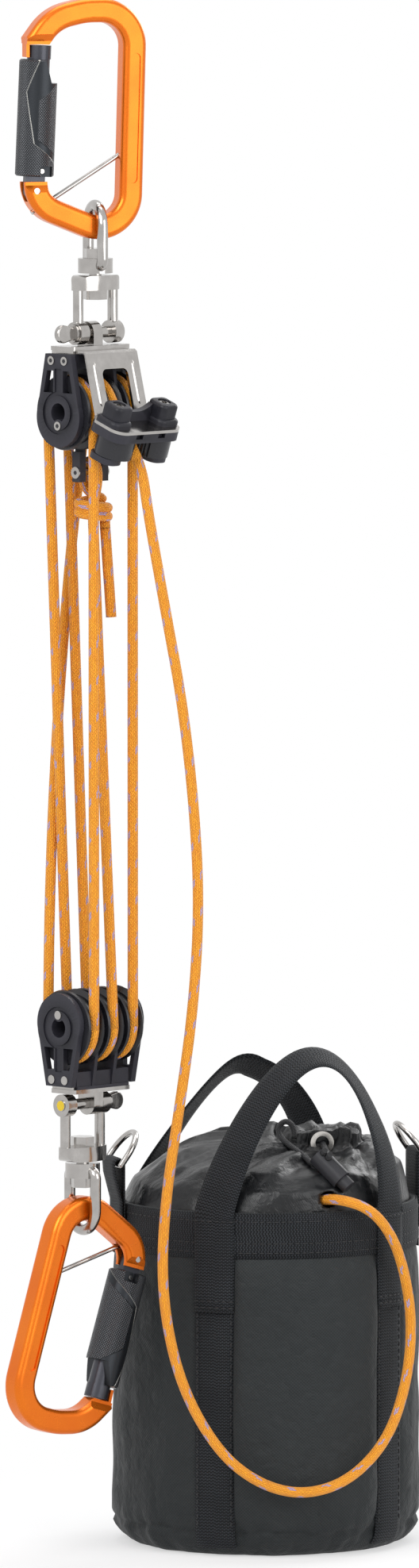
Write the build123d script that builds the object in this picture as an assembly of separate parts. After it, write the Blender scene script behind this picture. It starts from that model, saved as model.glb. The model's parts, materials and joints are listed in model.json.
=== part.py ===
from build123d import *
import math
import os

# Rescue pulley system: anchor carabiner, swivel, triple block with cam cleat, six-part
# tackle, triple block, swivel, load carabiner, and the bag that holds the spare rope.
# Millimetres. +Z up, X across the front, +Y away from the front.
# Origin: inside top of the anchor carabiner's bow, where an anchor would bear.

# Shared clearances
RUN_GAP = 0.05          # radial, shaft in a bore that turns
SEAT_GAP = 0.02         # radial, rivet or pin in a bore that stays
SIDE_GAP = 0.3          # between faces that pass each other

# Rope
ROPE_D = 5.0
ROPE_GROOVE_GAP = 0.3

# Carabiner: bar centreline in its own plane, x across, z up
BAR_WIDTH = 11.5        # in the plane of the loop
BAR_DEPTH = 12.0        # across the loop
BAR_ROUND = 3.0
BOW_TOP_Z = BAR_WIDTH / 2
SPINE_TOP_X = 21.1
SPINE_FOOT_X = 18.1
NOSE_X = -26.0
NOSE_Z = -10.0
HINGE_X = -29.0
HINGE_Z = -79.5
FOOT_Z = -97.0          # centreline at the lowest point of the foot bow
FOOT_SLOPE = 22.0       # degrees, rise of the foot towards the hinge
BOW_START = (-30.7, -12.0)          # below the nose, where the bar is cut to the gate's top
BOW_SHOULDER = (-20.0, 2.2)
BOW_CROWN_X = -4.0
BOW_SHOULDER_R = 22.0
BOW_CROWN_R = 40.0
BOW_RIGHT_R = 17.0
FOOT_R = 16.0
HINGE_CORNER_R = 15.0
HINGE_END = 4.3         # end of the bar above the hinge axis
TAB_STEP = (2.0, 1.6, 4.4)          # depth, straight part and whole height of the milled step at each end
SPINE_RECESS = (5.0, 62.0, 0.7)     # width, length, depth of the panel on each side
GATE_R = 5.3
GATE_CAP_R = 5.7
GATE_NOSE_GAP = 0.5
TONGUE_R = 4.8
TONGUE_THICK = 4.0
TONGUE_SIDE_GAP = 0.2
HINGE_PIN_R = 1.5
STOP_LIP = (1.6, 6.0, 6.0)          # thickness, depth, length of the gate stop on the nose
SLEEVE_R = 9.2
SLEEVE_FOOT = 6.9       # above the hinge axis
SLEEVE_TOP_DROP = 6.8   # below the gate's top
SLEEVE_STEP = 11.0      # how much lower the sleeve's inner side is
SLEEVE_NOTCH = (6.4, 5.0)           # width and height of the slot in the sleeve's foot
CAPTIVE_R = 1.1
CAPTIVE_SPINE_Z = -60.0
CAPTIVE_HINGE_Z = -90.0

# How the carabiners hang
ANCHOR_TURN = 20.0      # degrees about Z
LOAD_TURN = 38.0
LOAD_TILT = 16.0        # in the carabiner's own plane

# Swivel, measured down from the bar it hangs on
EYE_ROD_D = 5.3
EYE_BAR_GAP = 0.35
SWIVEL_COLLAR_R = 8.3
SWIVEL_COLLAR_H = 7.0
COLLAR_TOP = 15.1
COLLAR_GAP = 1.0
SWIVEL_BOLT_R = 3.0
HEX_FLATS = 10.0
HEX_HEIGHT = 4.6
JAW_ROD_D = 5.0
JAW_HALF = 11.5         # leg centreline from the swivel axis
JAW_CROWN_R = 7.4
JAW_CROWN_RIM = 0.3     # how far the crown stands past the legs
JAW_SHOULDER_R = 6.2
SWIVEL_LENGTH = 50.4    # bar centre to shackle pin
EAR_R = 5.4
EAR_THICK = 5.6
PIN_R = 2.7
PIN_HANDLE = (11.0, 3.0, 8.6)      # length, thickness, width of the round paddle
PIN_HANDLE_EDGE = 0.8

# Triple block, in its own frame: x front, y along the axle, z towards the head
BLOCK_TURN = -45.0
SHEAVE_R = 18.0
SHEAVE_PITCH_R = 15.5   # rope centreline
SHEAVE_WIDTH = 10.4
SHEAVE_BORE_R = 10.7
DIVIDER_THICK = 2.0
CHEEK_THICK = 3.0
CHEEK_HALF = 13.5
CHEEK_HEAD_HALF = 8.5
CHEEK_ROUND_END = 16.5  # axle centre to the rounded end
HEAD_HEIGHT = 28.0      # axle centre to the head end
HEAD_BAR_HEIGHT = 7.0
AXLE_R = 8.2
AXLE_HOLE_R = 4.6
AXLE_RIVET_OFFSET = 6.2
BALL_R = 1.2
BALLS_PER_SHEAVE = 12
RIVET_R = 1.5
RIVET_HEAD_R = 2.1
RIVET_HEAD_H = 0.6
HEAD_RIVET_X = 4.4
HEAD_RIVET_DROP = 3.2
STRAP_LEG_THICK = 1.2
STRAP_LEG_HALF = 7.2
STRAP_LEG_LENGTH = 6.6
HEAD_SHIM = 1.5         # bracket flange or pad under the head plate
HEAD_PLATE = (16.0, 39.0, 2.0)
TANG_THICK = 6.0
TANG_HALF = 5.5
TANG_RISE = 5.8         # head plate to pin centre
UPPER_PIN_PLAY = 3.5    # how far the shackle sits off the tang's middle, along the pin
LOWER_PIN_PLAY = -5.4

# Cam cleat, hung on its bracket in front of the upper block
CLEAT_FRONT = 31.0      # from the axle, towards the front
CLEAT_DROP = 5.4        # below the axle
CLEAT_TILT = 20.0
CLEAT_DEPTH = 22.0
CLEAT_WIDTH = 44.0
SHEET = 1.5
BRACKET_KNEE = 13.0
BRACKET_WINDOW_HALF = 8.5
BRACKET_WINDOW_R = 3.0
CAM_BASE_H = 4.5
CAM_H = 9.0
CAM_GAP = 0.3
KEEPER_H = 3.0
CAM_PIVOT_HALF = 15.0
CAM_R = 9.2
CAM_OFFSET = 3.25
CAM_LEAD = 20.0         # degrees, where the cam's centre stands at rest
CAM_ROPE_GAP = 0.25
CAM_PIVOT_R = 2.0
CAM_TEETH = 7
BASE_NOTCH = (2.0, 4.4, 2.4)       # depth, width and height of the two notches in the base's front
BASE_NOTCH_Y = 7.3
COVER_H = 3.2
COVER_WALL = (-4.6, -1.6)           # back and front of the wall between the bosses
COVER_SADDLE_R = 14.0
BOSS_SIZE = 11.0
BOSS_ROUND = 3.2
COVER_ROUND = 1.8
BOSS_H = 7.0
SCREW_HEAD_R = 3.0
SCREW_HEAD_H = 2.0
CLEAT_ROPE_ANGLE = 32.0  # where the rope leaves the middle sheave, above the front

# Becket
BECKET_PIN_DROP = 29.0
BECKET_LENGTH = 33.5
BECKET_HALF_X = 2.6
BECKET_PRONG = 4.0
BECKET_PIN_R = 2.0
KNOT_X = 2.0
KNOT_TOP_DROP = 41.0
KNOT_WRAP_R = 7.3
KNOT_WRAPS = 2
KNOT_CORE_R = 5.6
DEAD_END_LENGTH = 45.0

# Tackle
AXLE_SPACING = 293.4
FALL_END_GAP = 0.05
CROSSING_BOW = 9.5      # how far the crossing fall stands behind the other two

# Bag, in its own frame: -y is its front, z from its base
BAG_X = 83.4
BAG_Y = 73.0
BAG_BASE_Z = -735.0
BAG_TURN = 17.0
BAG_R = 72.0
BAG_H = 166.0
BAG_WALL = 2.0
BAG_EDGE_R = 12.0
BAND_H = 22.0
WEBBING = 1.25
WEBBING_GAP = 0.05
WEBBING_WIDTH = 20.0
STRAP_ANGLE = 37.0      # straps and handle ends, either side of front and back
STRAP_FOOT = 14.0
STRAP_LAP = 3.0
HANDLE_RISE = 73.0
BACK_HANDLE_RISE = 59.0
HANDLE_LEAN = (19.0, 0.45)          # how far the left leg leans in, and the share of it at the top
BACK_HANDLE_LEAN = (26.0, 0.2)
HANDLE_SECTIONS = 17
COLLAR_WALL = 1.8
COLLAR_LAP = 8.0
DOME_R = 44.0
DOME_X = 11.0
DOME_Y = -7.0
DOME_RISE = 17.0        # above the rim
NECK_R = 15.0
NECK_X = 23.0
NECK_Y = -17.0
NECK_FOOT = 23.0
NECK_TOP = 35.0
RING_WIRE_R = 1.5
RING_LEG = 5.0
RING_LEAN = 35.0
TAB_RISE = 19.0
TAB_BARREL_R = 3.2
RING_GAP = 0.25
EYELET_R = 5.6
EYELET_HOLE_R = 3.3
EYELET_THICK = 1.2
LOCK_R = 5.0
LOCK_LENGTH = 17.0
LOCK_BUTTON_R = 3.6
LOCK_BUTTON_OUT = 5.0
LOCK_BUTTON_IN = 5.0
# Places of the cord lock and its cord are from the middle of the rim
LOCK_CENTRE = (12.6, -62.4, 20.4)
LOCK_LEAN = (0.568, -0.466, -0.6789146042562411)
CORD_R = 1.4
CORD_ROUTES = [
    [
        (-7.0, -14.6, 28.0),
        (-1.9, -21.9, 27.0),
        (3.6, -31.4, 24.0),
        (7.5, -42.5, 21.7),
        (10.7, -53.7, 17.2),
        (11.1, -67.9, 27.4),
    ],
    [
        (9.2, -66.0, 29.2),
        (8.9, -52.2, 19.4),
        (6.0, -40.5, 24.4),
        (2.8, -30.6, 27.7),
        (-0.4, -23.9, 31.5),
        (-0.8, -21.7, 36.5),
        (3.0, -23.1, 39.5),
        (6.4, -25.5, 36.5),
        (6.0, -26.9, 31.0),
    ],
    [
        (12.5, -59.0, 22.4),
        (17.3, -53.3, 22.4),
        (17.5, -44.0, 24.5),
        (18.4, -32.8, 28.5),
        (20.6, -25.1, 29.5),
    ],
]

# Stored rope inside the bag
COIL_INNER_R = 30.0
COIL_STEP = 6.1
COIL_TURNS = 5
COIL_LAYERS = 4
COIL_FLOOR_GAP = 0.6

# Tail of the rope, points chosen to follow its hang: from the cleat down, then from the middle of the
# bag's rim, and last from the middle of its base
TAIL_HANG = [
    (27.0, -28.0, -231.0),
    (35.5, -26.5, -279.0),
    (43.5, -24.5, -323.0),
    (49.0, -22.5, -372.0),
    (51.4, -21.0, -420.0),
    (48.4, -19.0, -470.0),
    (41.6, -18.0, -518.0),
    (35.2, -17.5, -560.0),
    (33.2, -17.0, -600.0),
    (38.6, -16.5, -636.0),
    (49.8, -16.0, -665.0),
    (68.0, -15.5, -690.0),
    (94.0, -13.0, -703.0),
    (120.0, -7.0, -699.0),
    (141.0, 6.0, -680.0),
]
TAIL_OVER_RIM = [
    (67.6, -55.0, -83.0),
    (70.0, -49.0, -53.0),
    (65.1, -53.5, -25.0),
    (58.1, -63.5, -8.0),
    (48.6, -69.0, 2.5),
    (35.1, -67.0, 6.5),
    (24.6, -56.5, 5.0),
    (19.1, -44.0, -2.5),
    (19.6, -32.5, -16.0),
    (26.6, -26.0, -37.0),
]
TAIL_INSIDE = [
    (38.6, -26.0, 105.0),
    (50.1, -31.0, 80.0),
    (55.6, -34.0, 56.0),
    (58.1, -31.0, 35.0),
]
TAIL_FIRST_RUN = 7.0
TAIL_LAST_RUN = 15.0
FILLET_SHARE = 0.45

PARTS = {}


def keep(name, shape):
    """Store a finished piece under its node name."""
    PARTS[name] = shape


def rod(start, end, radius):
    """A round rod between two points."""
    a = Vector(*start)
    b = Vector(*end)
    section = Plane(origin=a, z_dir=b - a) * Circle(radius)
    return extrude(section, amount=(b - a).length)


def y_rod(x, y0, y1, z, radius):
    """A round rod along Y."""
    return rod((x, y0, z), (x, y1, z), radius)


def block(x0, x1, y0, y1, z0, z1):
    """A box given by its limits."""
    size = Box(x1 - x0, y1 - y0, z1 - z0)
    return Pos((x0 + x1) / 2, (y0 + y1) / 2, (z0 + z1) / 2) * size


def tube_along(wire, radius):
    """A round tube along a wire."""
    section = Plane(origin=wire @ 0, z_dir=wire % 0) * Circle(radius)
    return sweep(section, path=wire)


def extruded_xz(points, y0, y1):
    """A polygon in the x, z plane carried from y0 to y1."""
    outline = Polyline(*[(x, y0, z) for x, z in points], close=True)
    return extrude(make_face(outline), amount=y1 - y0, dir=(0, 1, 0))


# Carabiner

def carabiner_corners():
    """Corners of the bar's centreline from nose to hinge, with their radii."""
    turn = math.radians(90 + FOOT_SLOPE)
    foot_corner_z = FOOT_Z + FOOT_R - FOOT_R * math.tan(turn / 2)
    hinge_corner_z = foot_corner_z + (SPINE_FOOT_X - HINGE_X) * math.tan(math.radians(FOOT_SLOPE))
    corners = [
        BOW_START,
        BOW_SHOULDER,
        (BOW_CROWN_X, BOW_TOP_Z),
        (SPINE_TOP_X, BOW_TOP_Z),
        (SPINE_FOOT_X, foot_corner_z),
        (HINGE_X, hinge_corner_z),
        (HINGE_X, HINGE_Z + HINGE_END),
    ]
    return corners, [BOW_SHOULDER_R, BOW_CROWN_R, BOW_RIGHT_R, FOOT_R, HINGE_CORNER_R]


def gate_place():
    """Frame of the gate: origin on the hinge axis, z towards the nose."""
    lean = math.degrees(math.atan2(NOSE_X - HINGE_X, NOSE_Z - HINGE_Z))
    return Location((HINGE_X, 0, HINGE_Z), (0, lean, 0))


def gate_length():
    """Hinge axis to the gate's top."""
    return math.hypot(NOSE_X - HINGE_X, NOSE_Z - HINGE_Z) - GATE_NOSE_GAP


def foot_centre():
    """Centre of the foot bow's arc, in the carabiner's plane."""
    return SPINE_FOOT_X - FOOT_R, FOOT_Z + FOOT_R


def milled_step(side, mid_x, end_z, up):
    """The thickness taken off one face at an end of the bar, running out up or down the bar."""
    depth, straight, height = TAB_STEP
    face = side * BAR_DEPTH / 2
    outline = [(face - side * depth, end_z - up), (face - side * depth, end_z + up * straight),
               (face + side, end_z + up * (height + height / depth)), (face + side, end_z - up)]
    wire = Polyline(*[(mid_x - BAR_WIDTH, y, z) for y, z in outline], close=True)
    return extrude(make_face(wire), amount=2 * BAR_WIDTH, dir=(1, 0, 0))


def carabiner(prefix, place):
    """Frame, gate, sleeve and pins of one carabiner, set at a place."""
    corners, radii = carabiner_corners()
    path = FilletPolyline(*[(x, 0, z) for x, z in corners], radius=radii)
    section_plane = Plane(origin=path @ 0, x_dir=(0, 1, 0), z_dir=path % 0)
    frame = sweep(section_plane * RectangleRounded(BAR_DEPTH, BAR_WIDTH, BAR_ROUND), path=path)
    lip_thick, lip_depth, lip_length = STOP_LIP
    lip_x = NOSE_X - GATE_CAP_R - SIDE_GAP
    lip_rise = lip_length * 0.4
    nose_end = gate_length() + GATE_NOSE_GAP
    frame = frame - gate_place() * block(-2 * BAR_WIDTH, BAR_WIDTH, -BAR_DEPTH, BAR_DEPTH,
                                         nose_end - BAR_WIDTH, nose_end)
    frame = frame - block(lip_x - 2 * BAR_WIDTH, lip_x - lip_thick, -BAR_DEPTH, BAR_DEPTH,
                          NOSE_Z - BAR_WIDTH, NOSE_Z + BAR_WIDTH)
    for side in (-1, 1):
        frame = frame - milled_step(side, NOSE_X, NOSE_Z, 1) - milled_step(side, HINGE_X, HINGE_Z + HINGE_END, -1)
    slot_half = TONGUE_THICK / 2 + TONGUE_SIDE_GAP
    slot_floor = HINGE_Z - TONGUE_R - SIDE_GAP
    frame = frame - block(HINGE_X - BAR_WIDTH, HINGE_X + BAR_WIDTH, -slot_half, slot_half,
                          slot_floor, HINGE_Z + BAR_WIDTH)
    lip = block(lip_x - lip_thick, lip_x, -lip_depth / 2, lip_depth / 2, NOSE_Z - lip_length, NOSE_Z + lip_rise)
    lip = lip + block(lip_x - lip_thick, NOSE_X, -lip_depth / 2, lip_depth / 2, NOSE_Z, NOSE_Z + lip_rise)
    frame = frame + lip
    width, length, depth = SPINE_RECESS
    spine_lean = math.degrees(math.atan2(SPINE_TOP_X - SPINE_FOOT_X, BOW_TOP_Z - FOOT_Z))
    spine_mid = Location(((SPINE_TOP_X + SPINE_FOOT_X) / 2, 0, (BOW_TOP_Z + FOOT_Z) / 2), (0, spine_lean, 0))
    panel = SlotOverall(length, width)
    for side in (-1, 1):
        face = Plane(origin=(0, side * BAR_DEPTH / 2, 0), x_dir=(0, 0, 1), z_dir=(0, -side, 0))
        frame = frame - spine_mid * extrude(face * panel, amount=depth)
    frame = frame - y_rod(HINGE_X, -BAR_DEPTH, BAR_DEPTH, HINGE_Z, HINGE_PIN_R + SEAT_GAP)

    spine_share = (CAPTIVE_SPINE_Z - FOOT_Z) / (BOW_TOP_Z - FOOT_Z)
    spine_x = SPINE_FOOT_X + (SPINE_TOP_X - SPINE_FOOT_X) * spine_share
    captive_ends = ((spine_x, 0, CAPTIVE_SPINE_Z), (HINGE_X - BAR_WIDTH / 10, 0, CAPTIVE_HINGE_Z))
    frame = frame - rod(*captive_ends, CAPTIVE_R + SEAT_GAP)
    keep(prefix + "_frame", place * frame)
    hinge_pin = y_rod(HINGE_X, -BAR_DEPTH / 2 + 0.8, BAR_DEPTH / 2 - 0.8, HINGE_Z, HINGE_PIN_R)
    captive = rod(*captive_ends, CAPTIVE_R)
    keep(prefix + "_pins", Compound(children=[place * hinge_pin, place * captive]))

    at_gate = place * gate_place()
    top = gate_length()
    tongue = y_rod(0, -TONGUE_THICK / 2, TONGUE_THICK / 2, 0, TONGUE_R)
    neck = block(-TONGUE_R, TONGUE_R, -TONGUE_THICK / 2, TONGUE_THICK / 2, 0, SLEEVE_FOOT + 2)
    stem = rod((0, 0, SLEEVE_FOOT), (0, 0, top), GATE_R)
    cap = rod((0, 0, top - SLEEVE_TOP_DROP + SIDE_GAP), (0, 0, top), GATE_CAP_R)
    gate = tongue + neck + stem + cap
    gate = gate - y_rod(0, -BAR_DEPTH, BAR_DEPTH, 0, HINGE_PIN_R + RUN_GAP)
    keep(prefix + "_gate", at_gate * gate)

    sleeve_top = top - SLEEVE_TOP_DROP
    sleeve = rod((0, 0, SLEEVE_FOOT), (0, 0, sleeve_top), SLEEVE_R)
    sleeve = chamfer(sleeve.edges().filter_by(GeomType.CIRCLE), 0.7)
    sleeve = sleeve - rod((0, 0, 0), (0, 0, top), GATE_R + RUN_GAP)
    step = [(0.5, sleeve_top), (SLEEVE_R * 0.45, sleeve_top - SLEEVE_STEP), (SLEEVE_R + 1, sleeve_top - SLEEVE_STEP),
            (SLEEVE_R + 1, sleeve_top + 1), (0.5, sleeve_top + 1)]
    sleeve = sleeve - extruded_xz(step, -SLEEVE_R - 1, SLEEVE_R + 1)
    notch_width, notch_height = SLEEVE_NOTCH
    sleeve = sleeve - block(0, notch_width, -SLEEVE_R - 1, -GATE_R, 0, SLEEVE_FOOT + notch_height)
    keep(prefix + "_sleeve", at_gate * sleeve)


# Swivel: eye, jaw, bolt with nut, screw pin

def hook_wire(half, foot_z, bend, end_z):
    """One leg: out of the collar at foot_z, round a bend, and straight to end_z."""
    return FilletPolyline((0, 0, foot_z), (half, 0, foot_z), (half, 0, end_z), radius=[bend])


def jaw_crown(foot, top):
    """Forged crown of the jaw: round in the middle, drawn out to both legs, with round shoulders."""
    reach = JAW_HALF + JAW_ROD_D / 2 + JAW_CROWN_RIM
    plan = Ellipse(reach, JAW_CROWN_R)
    shoulders = block(-reach, reach, -2 * JAW_CROWN_R, 2 * JAW_CROWN_R, foot, top)
    shoulders = fillet(shoulders.edges().filter_by(Axis.Y).group_by(Axis.Z)[-1], JAW_SHOULDER_R)
    return Pos(0, 0, foot) * extrude(plan, amount=top - foot) & shoulders


def swivel(prefix, place, eye_turn, jaw_turn, handle_side):
    """Swivel hanging from a bar at the place's origin, down its -z."""
    eye_r = math.hypot(BAR_WIDTH / 2 - BAR_ROUND, BAR_DEPTH / 2 - BAR_ROUND) + BAR_ROUND
    bow_r = eye_r + EYE_BAR_GAP + EYE_ROD_D / 2
    eye_foot = -COLLAR_TOP - SWIVEL_COLLAR_H
    eye_mid = -COLLAR_TOP - SWIVEL_COLLAR_H / 2
    eye = revolve(Plane.XY * Pos(bow_r, 0) * Circle(EYE_ROD_D / 2), axis=Axis.Y, revolution_arc=-180)
    for side in (0, 180):
        leg = tube_along(hook_wire(bow_r, eye_mid, EYE_ROD_D * 0.7, 0), EYE_ROD_D / 2)
        eye = eye + Rot(0, 0, side) * leg
    eye = eye + rod((0, 0, eye_foot), (0, 0, -COLLAR_TOP), SWIVEL_COLLAR_R)
    eye = eye - rod((0, 0, eye_foot - 1), (0, 0, -COLLAR_TOP + HEX_HEIGHT), SWIVEL_BOLT_R + RUN_GAP)
    keep(prefix + "_eye", place * Rot(0, 0, eye_turn) * eye)

    jaw_top = eye_foot - COLLAR_GAP
    jaw_foot = jaw_top - SWIVEL_COLLAR_H
    jaw_mid = (jaw_top + jaw_foot) / 2
    jaw = jaw_crown(jaw_foot, jaw_top)
    for side in (0, 180):
        leg = rod((JAW_HALF, 0, -SWIVEL_LENGTH), (JAW_HALF, 0, jaw_mid), JAW_ROD_D / 2)
        ear = rod((JAW_HALF - EAR_THICK / 2, 0, -SWIVEL_LENGTH), (JAW_HALF + EAR_THICK / 2, 0, -SWIVEL_LENGTH), EAR_R)
        jaw = jaw + Rot(0, 0, side) * (leg + ear)
    jaw = jaw - rod((0, 0, jaw_foot - 1), (0, 0, jaw_top + 1), SWIVEL_BOLT_R + SEAT_GAP)
    jaw = jaw - rod((-2 * JAW_HALF, 0, -SWIVEL_LENGTH), (2 * JAW_HALF, 0, -SWIVEL_LENGTH), PIN_R + SEAT_GAP)
    at_jaw = place * Rot(0, 0, jaw_turn)
    keep(prefix + "_jaw", at_jaw * jaw)

    head = extrude(Plane.XY.offset(-COLLAR_TOP + RUN_GAP) * RegularPolygon(HEX_FLATS / 2, 6, major_radius=False),
                   amount=HEX_HEIGHT)
    shank = rod((0, 0, jaw_foot - HEX_HEIGHT), (0, 0, -COLLAR_TOP + RUN_GAP), SWIVEL_BOLT_R)
    nut = extrude(Plane.XY.offset(jaw_foot - HEX_HEIGHT) * RegularPolygon(HEX_FLATS / 2, 6, major_radius=False),
                  amount=HEX_HEIGHT)
    keep(prefix + "_swivel_bolt", at_jaw * (head + shank + nut))

    outer = JAW_HALF + EAR_THICK / 2
    length, thick, height = PIN_HANDLE
    pin = rod((-outer - 0.4, 0, 0), (outer + 1.6, 0, 0), PIN_R)
    pin = pin + rod((outer + 0.2, 0, 0), (outer + 1.8, 0, 0), EAR_R * 0.8)
    rounds = [Pos(outer + 1.0, 0) * Circle(PIN_R), Pos(outer + 1.0 + length - height / 2, 0) * Circle(height / 2)]
    paddle = extrude(make_hull([edge for part in rounds for edge in part.edges()]), amount=thick)
    ends = paddle.edges().group_by(Axis.Z)
    paddle = fillet(ends[0] + ends[-1], PIN_HANDLE_EDGE)
    pin = pin + Rot(90, 0, 0) * Pos(0, 0, -thick / 2) * paddle
    flip = Rot(0, 0, 0 if handle_side > 0 else 180)
    keep(prefix + "_shackle_pin", at_jaw * Pos(0, 0, -SWIVEL_LENGTH) * flip * pin)


# Triple block

def sheave_pitch():
    """Distance between neighbouring sheaves."""
    return SHEAVE_WIDTH + DIVIDER_THICK + 2 * SIDE_GAP


def cheek_inner():
    """Inner face of a cheek, from the block's middle."""
    return 1.5 * sheave_pitch() - DIVIDER_THICK / 2


def sheave_places():
    """Middle of each sheave along the axle, left to right."""
    return [-sheave_pitch(), 0.0, sheave_pitch()]


def shield(half, head_half, end, thick_from, thick_to):
    """Plate with a rounded end, tapering to the head."""
    shoulder = 3.0
    outline = Polyline((-half, 0, shoulder), (-head_half, 0, HEAD_HEIGHT), (head_half, 0, HEAD_HEIGHT),
                       (half, 0, shoulder))
    lower = ThreePointArc((half, 0, shoulder), (0, 0, -end), (-half, 0, shoulder))
    face = make_face([*outline.edges(), *lower.edges()])
    plate = extrude(face, amount=thick_to - thick_from, dir=(0, 1, 0))
    return Pos(0, thick_from, 0) * plate


def axle_hole(y0, y1):
    """Hole through the axle boss, drawn in beside its rivet."""
    hole = y_rod(0, y0, y1, 0, AXLE_HOLE_R)
    return hole - y_rod(0, y0 - 1, y1 + 1, -AXLE_RIVET_OFFSET, RIVET_HEAD_R + 1.0)


def rivet_spots():
    """x, z of the rivets that hold the plates."""
    head_z = HEAD_HEIGHT - HEAD_RIVET_DROP
    return [(-HEAD_RIVET_X, head_z), (HEAD_RIVET_X, head_z), (0, -AXLE_RIVET_OFFSET)]


def rivet_holes(y0, y1):
    """Bores for the rivets, with their seat clearance."""
    holes = [y_rod(x, y0, y1, z, RIVET_R + SEAT_GAP) for x, z in rivet_spots()]
    return holes[0] + holes[1] + holes[2]


def sheave():
    """Grooved wheel about the y axis."""
    half = SHEAVE_WIDTH / 2
    groove = ROPE_D / 2 + ROPE_GROOVE_GAP
    rim = half - 0.9
    outline = [
        Polyline((SHEAVE_PITCH_R, -groove), (SHEAVE_R, -rim), (SHEAVE_R - 0.5, -half), (SHEAVE_BORE_R, -half),
                 (SHEAVE_BORE_R, half), (SHEAVE_R - 0.5, half), (SHEAVE_R, rim), (SHEAVE_PITCH_R, groove)),
        ThreePointArc((SHEAVE_PITCH_R, groove), (SHEAVE_PITCH_R - groove, 0), (SHEAVE_PITCH_R, -groove)),
    ]
    face = make_face([edge for line in outline for edge in line.edges()])
    return revolve(face, axis=Axis.Y)


def triple_block(prefix, place):
    """Cheeks, dividers, axle, balls, sheaves, head strap and rivets of one block."""
    inner = cheek_inner()
    outer = inner + CHEEK_THICK
    left = shield(CHEEK_HALF, CHEEK_HEAD_HALF, CHEEK_ROUND_END, -outer, -inner)
    for side in (-1, 1):
        window = extruded_xz([(side * 3.2, 9.5), (side * 9.8, 9.5), (side * 7.4, 20.0), (side * 3.2, 20.0)],
                             -outer - 1, -inner + 1)
        left = left - window
    left = left - axle_hole(-outer - 1, -inner + 1)
    ring = y_rod(0, -outer, -outer + 0.7, 0, AXLE_R + 2.0) - y_rod(0, -outer, -outer + 0.7, 0, AXLE_R)
    strip = block(-2.2, 2.2, -outer, -outer + 0.6, 9.0, 21.0)
    left = left - ring - strip - rivet_holes(-outer - 1, -inner + 1)
    keep(prefix + "_left_cheek", place * left)
    keep(prefix + "_right_cheek", place * mirror(left, about=Plane.XZ))

    bar_half = inner - STRAP_LEG_THICK - SEAT_GAP
    bar = block(-CHEEK_HEAD_HALF + 0.4, CHEEK_HEAD_HALF - 0.4, -bar_half, bar_half,
                HEAD_HEIGHT - HEAD_BAR_HEIGHT, HEAD_HEIGHT)
    frame = bar
    divider_end = 14.0
    for side in (-1, 1):
        middle = side * sheave_pitch() / 2
        plate = shield(CHEEK_HALF - 1.0, CHEEK_HEAD_HALF, divider_end, middle - DIVIDER_THICK / 2,
                       middle + DIVIDER_THICK / 2)
        frame = frame + plate
    frame = frame - y_rod(0, -outer, outer, 0, AXLE_R + SEAT_GAP)
    for x, z in rivet_spots()[:2]:
        frame = frame - y_rod(x, -outer, outer, z, RIVET_R + SEAT_GAP)
    keep(prefix + "_divider_frame", place * frame)

    axle = y_rod(0, -inner, inner, 0, AXLE_R) - axle_hole(-outer, outer)
    axle = axle - y_rod(0, -outer, outer, -AXLE_RIVET_OFFSET, RIVET_R + SEAT_GAP)
    keep(prefix + "_axle", place * axle)

    ball_ring = (AXLE_R + SHEAVE_BORE_R) / 2
    balls = []
    for middle in sheave_places():
        for index in range(BALLS_PER_SHEAVE):
            angle = 2 * math.pi * index / BALLS_PER_SHEAVE
            spot = Pos(ball_ring * math.cos(angle), middle, ball_ring * math.sin(angle))
            balls.append(place * spot * Sphere(BALL_R))
    keep(prefix + "_bearing_balls", Compound(children=balls))

    wheel = sheave()
    for number, middle in enumerate(sheave_places(), start=1):
        keep(f"{prefix}_sheave_{number}", place * Pos(0, middle, 0) * wheel)

    plate_x, plate_y, plate_z = HEAD_PLATE
    seat = HEAD_HEIGHT + HEAD_SHIM
    pin_z = seat + plate_z + TANG_RISE
    strap = block(-plate_x / 2, plate_x / 2, -plate_y / 2, plate_y / 2, seat, seat + plate_z)
    strap = fillet(strap.edges().filter_by(Axis.Z), 2.0)
    strap = strap + block(-TANG_HALF, TANG_HALF, -TANG_THICK / 2, TANG_THICK / 2, seat + plate_z, pin_z)
    strap = strap + y_rod(0, -TANG_THICK / 2, TANG_THICK / 2, pin_z, TANG_HALF)
    strap = strap - y_rod(0, -TANG_THICK, TANG_THICK, pin_z, PIN_R + RUN_GAP)
    for side in (-1, 1):
        leg_in = side * (inner - SEAT_GAP)
        leg_out = side * (inner - STRAP_LEG_THICK)
        strap = strap + block(-STRAP_LEG_HALF, STRAP_LEG_HALF, min(leg_in, leg_out), max(leg_in, leg_out),
                              HEAD_HEIGHT - STRAP_LEG_LENGTH, seat)
    for x, z in rivet_spots()[:2]:
        strap = strap - y_rod(x, -outer, outer, z, RIVET_R + SEAT_GAP)
    keep(prefix + "_head_strap", place * strap)

    rivets = []
    for x, z in rivet_spots():
        rivet = y_rod(x, -outer, outer, z, RIVET_R)
        rivet = rivet + y_rod(x, outer, outer + RIVET_HEAD_H, z, RIVET_HEAD_R)
        rivet = rivet + y_rod(x, -outer - RIVET_HEAD_H, -outer, z, RIVET_HEAD_R)
        rivets.append(place * rivet)
    return rivets


def rope_turn(middle, start_deg, end_deg):
    """Rope round a sheave on its head side, from start to end angle."""
    section = Plane.XY * Pos(SHEAVE_PITCH_R, 0) * Circle(ROPE_D / 2)
    turn = revolve(section, axis=Axis.Y, revolution_arc=-(end_deg - start_deg))
    return Pos(0, middle, 0) * Rot(0, -start_deg, 0) * turn


# Cam cleat

def cleat_place():
    """Frame of the cleat: x down the plate towards the front, z its normal."""
    return Location((CLEAT_FRONT, 0, -CLEAT_DROP), (0, CLEAT_TILT, 0))


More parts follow.
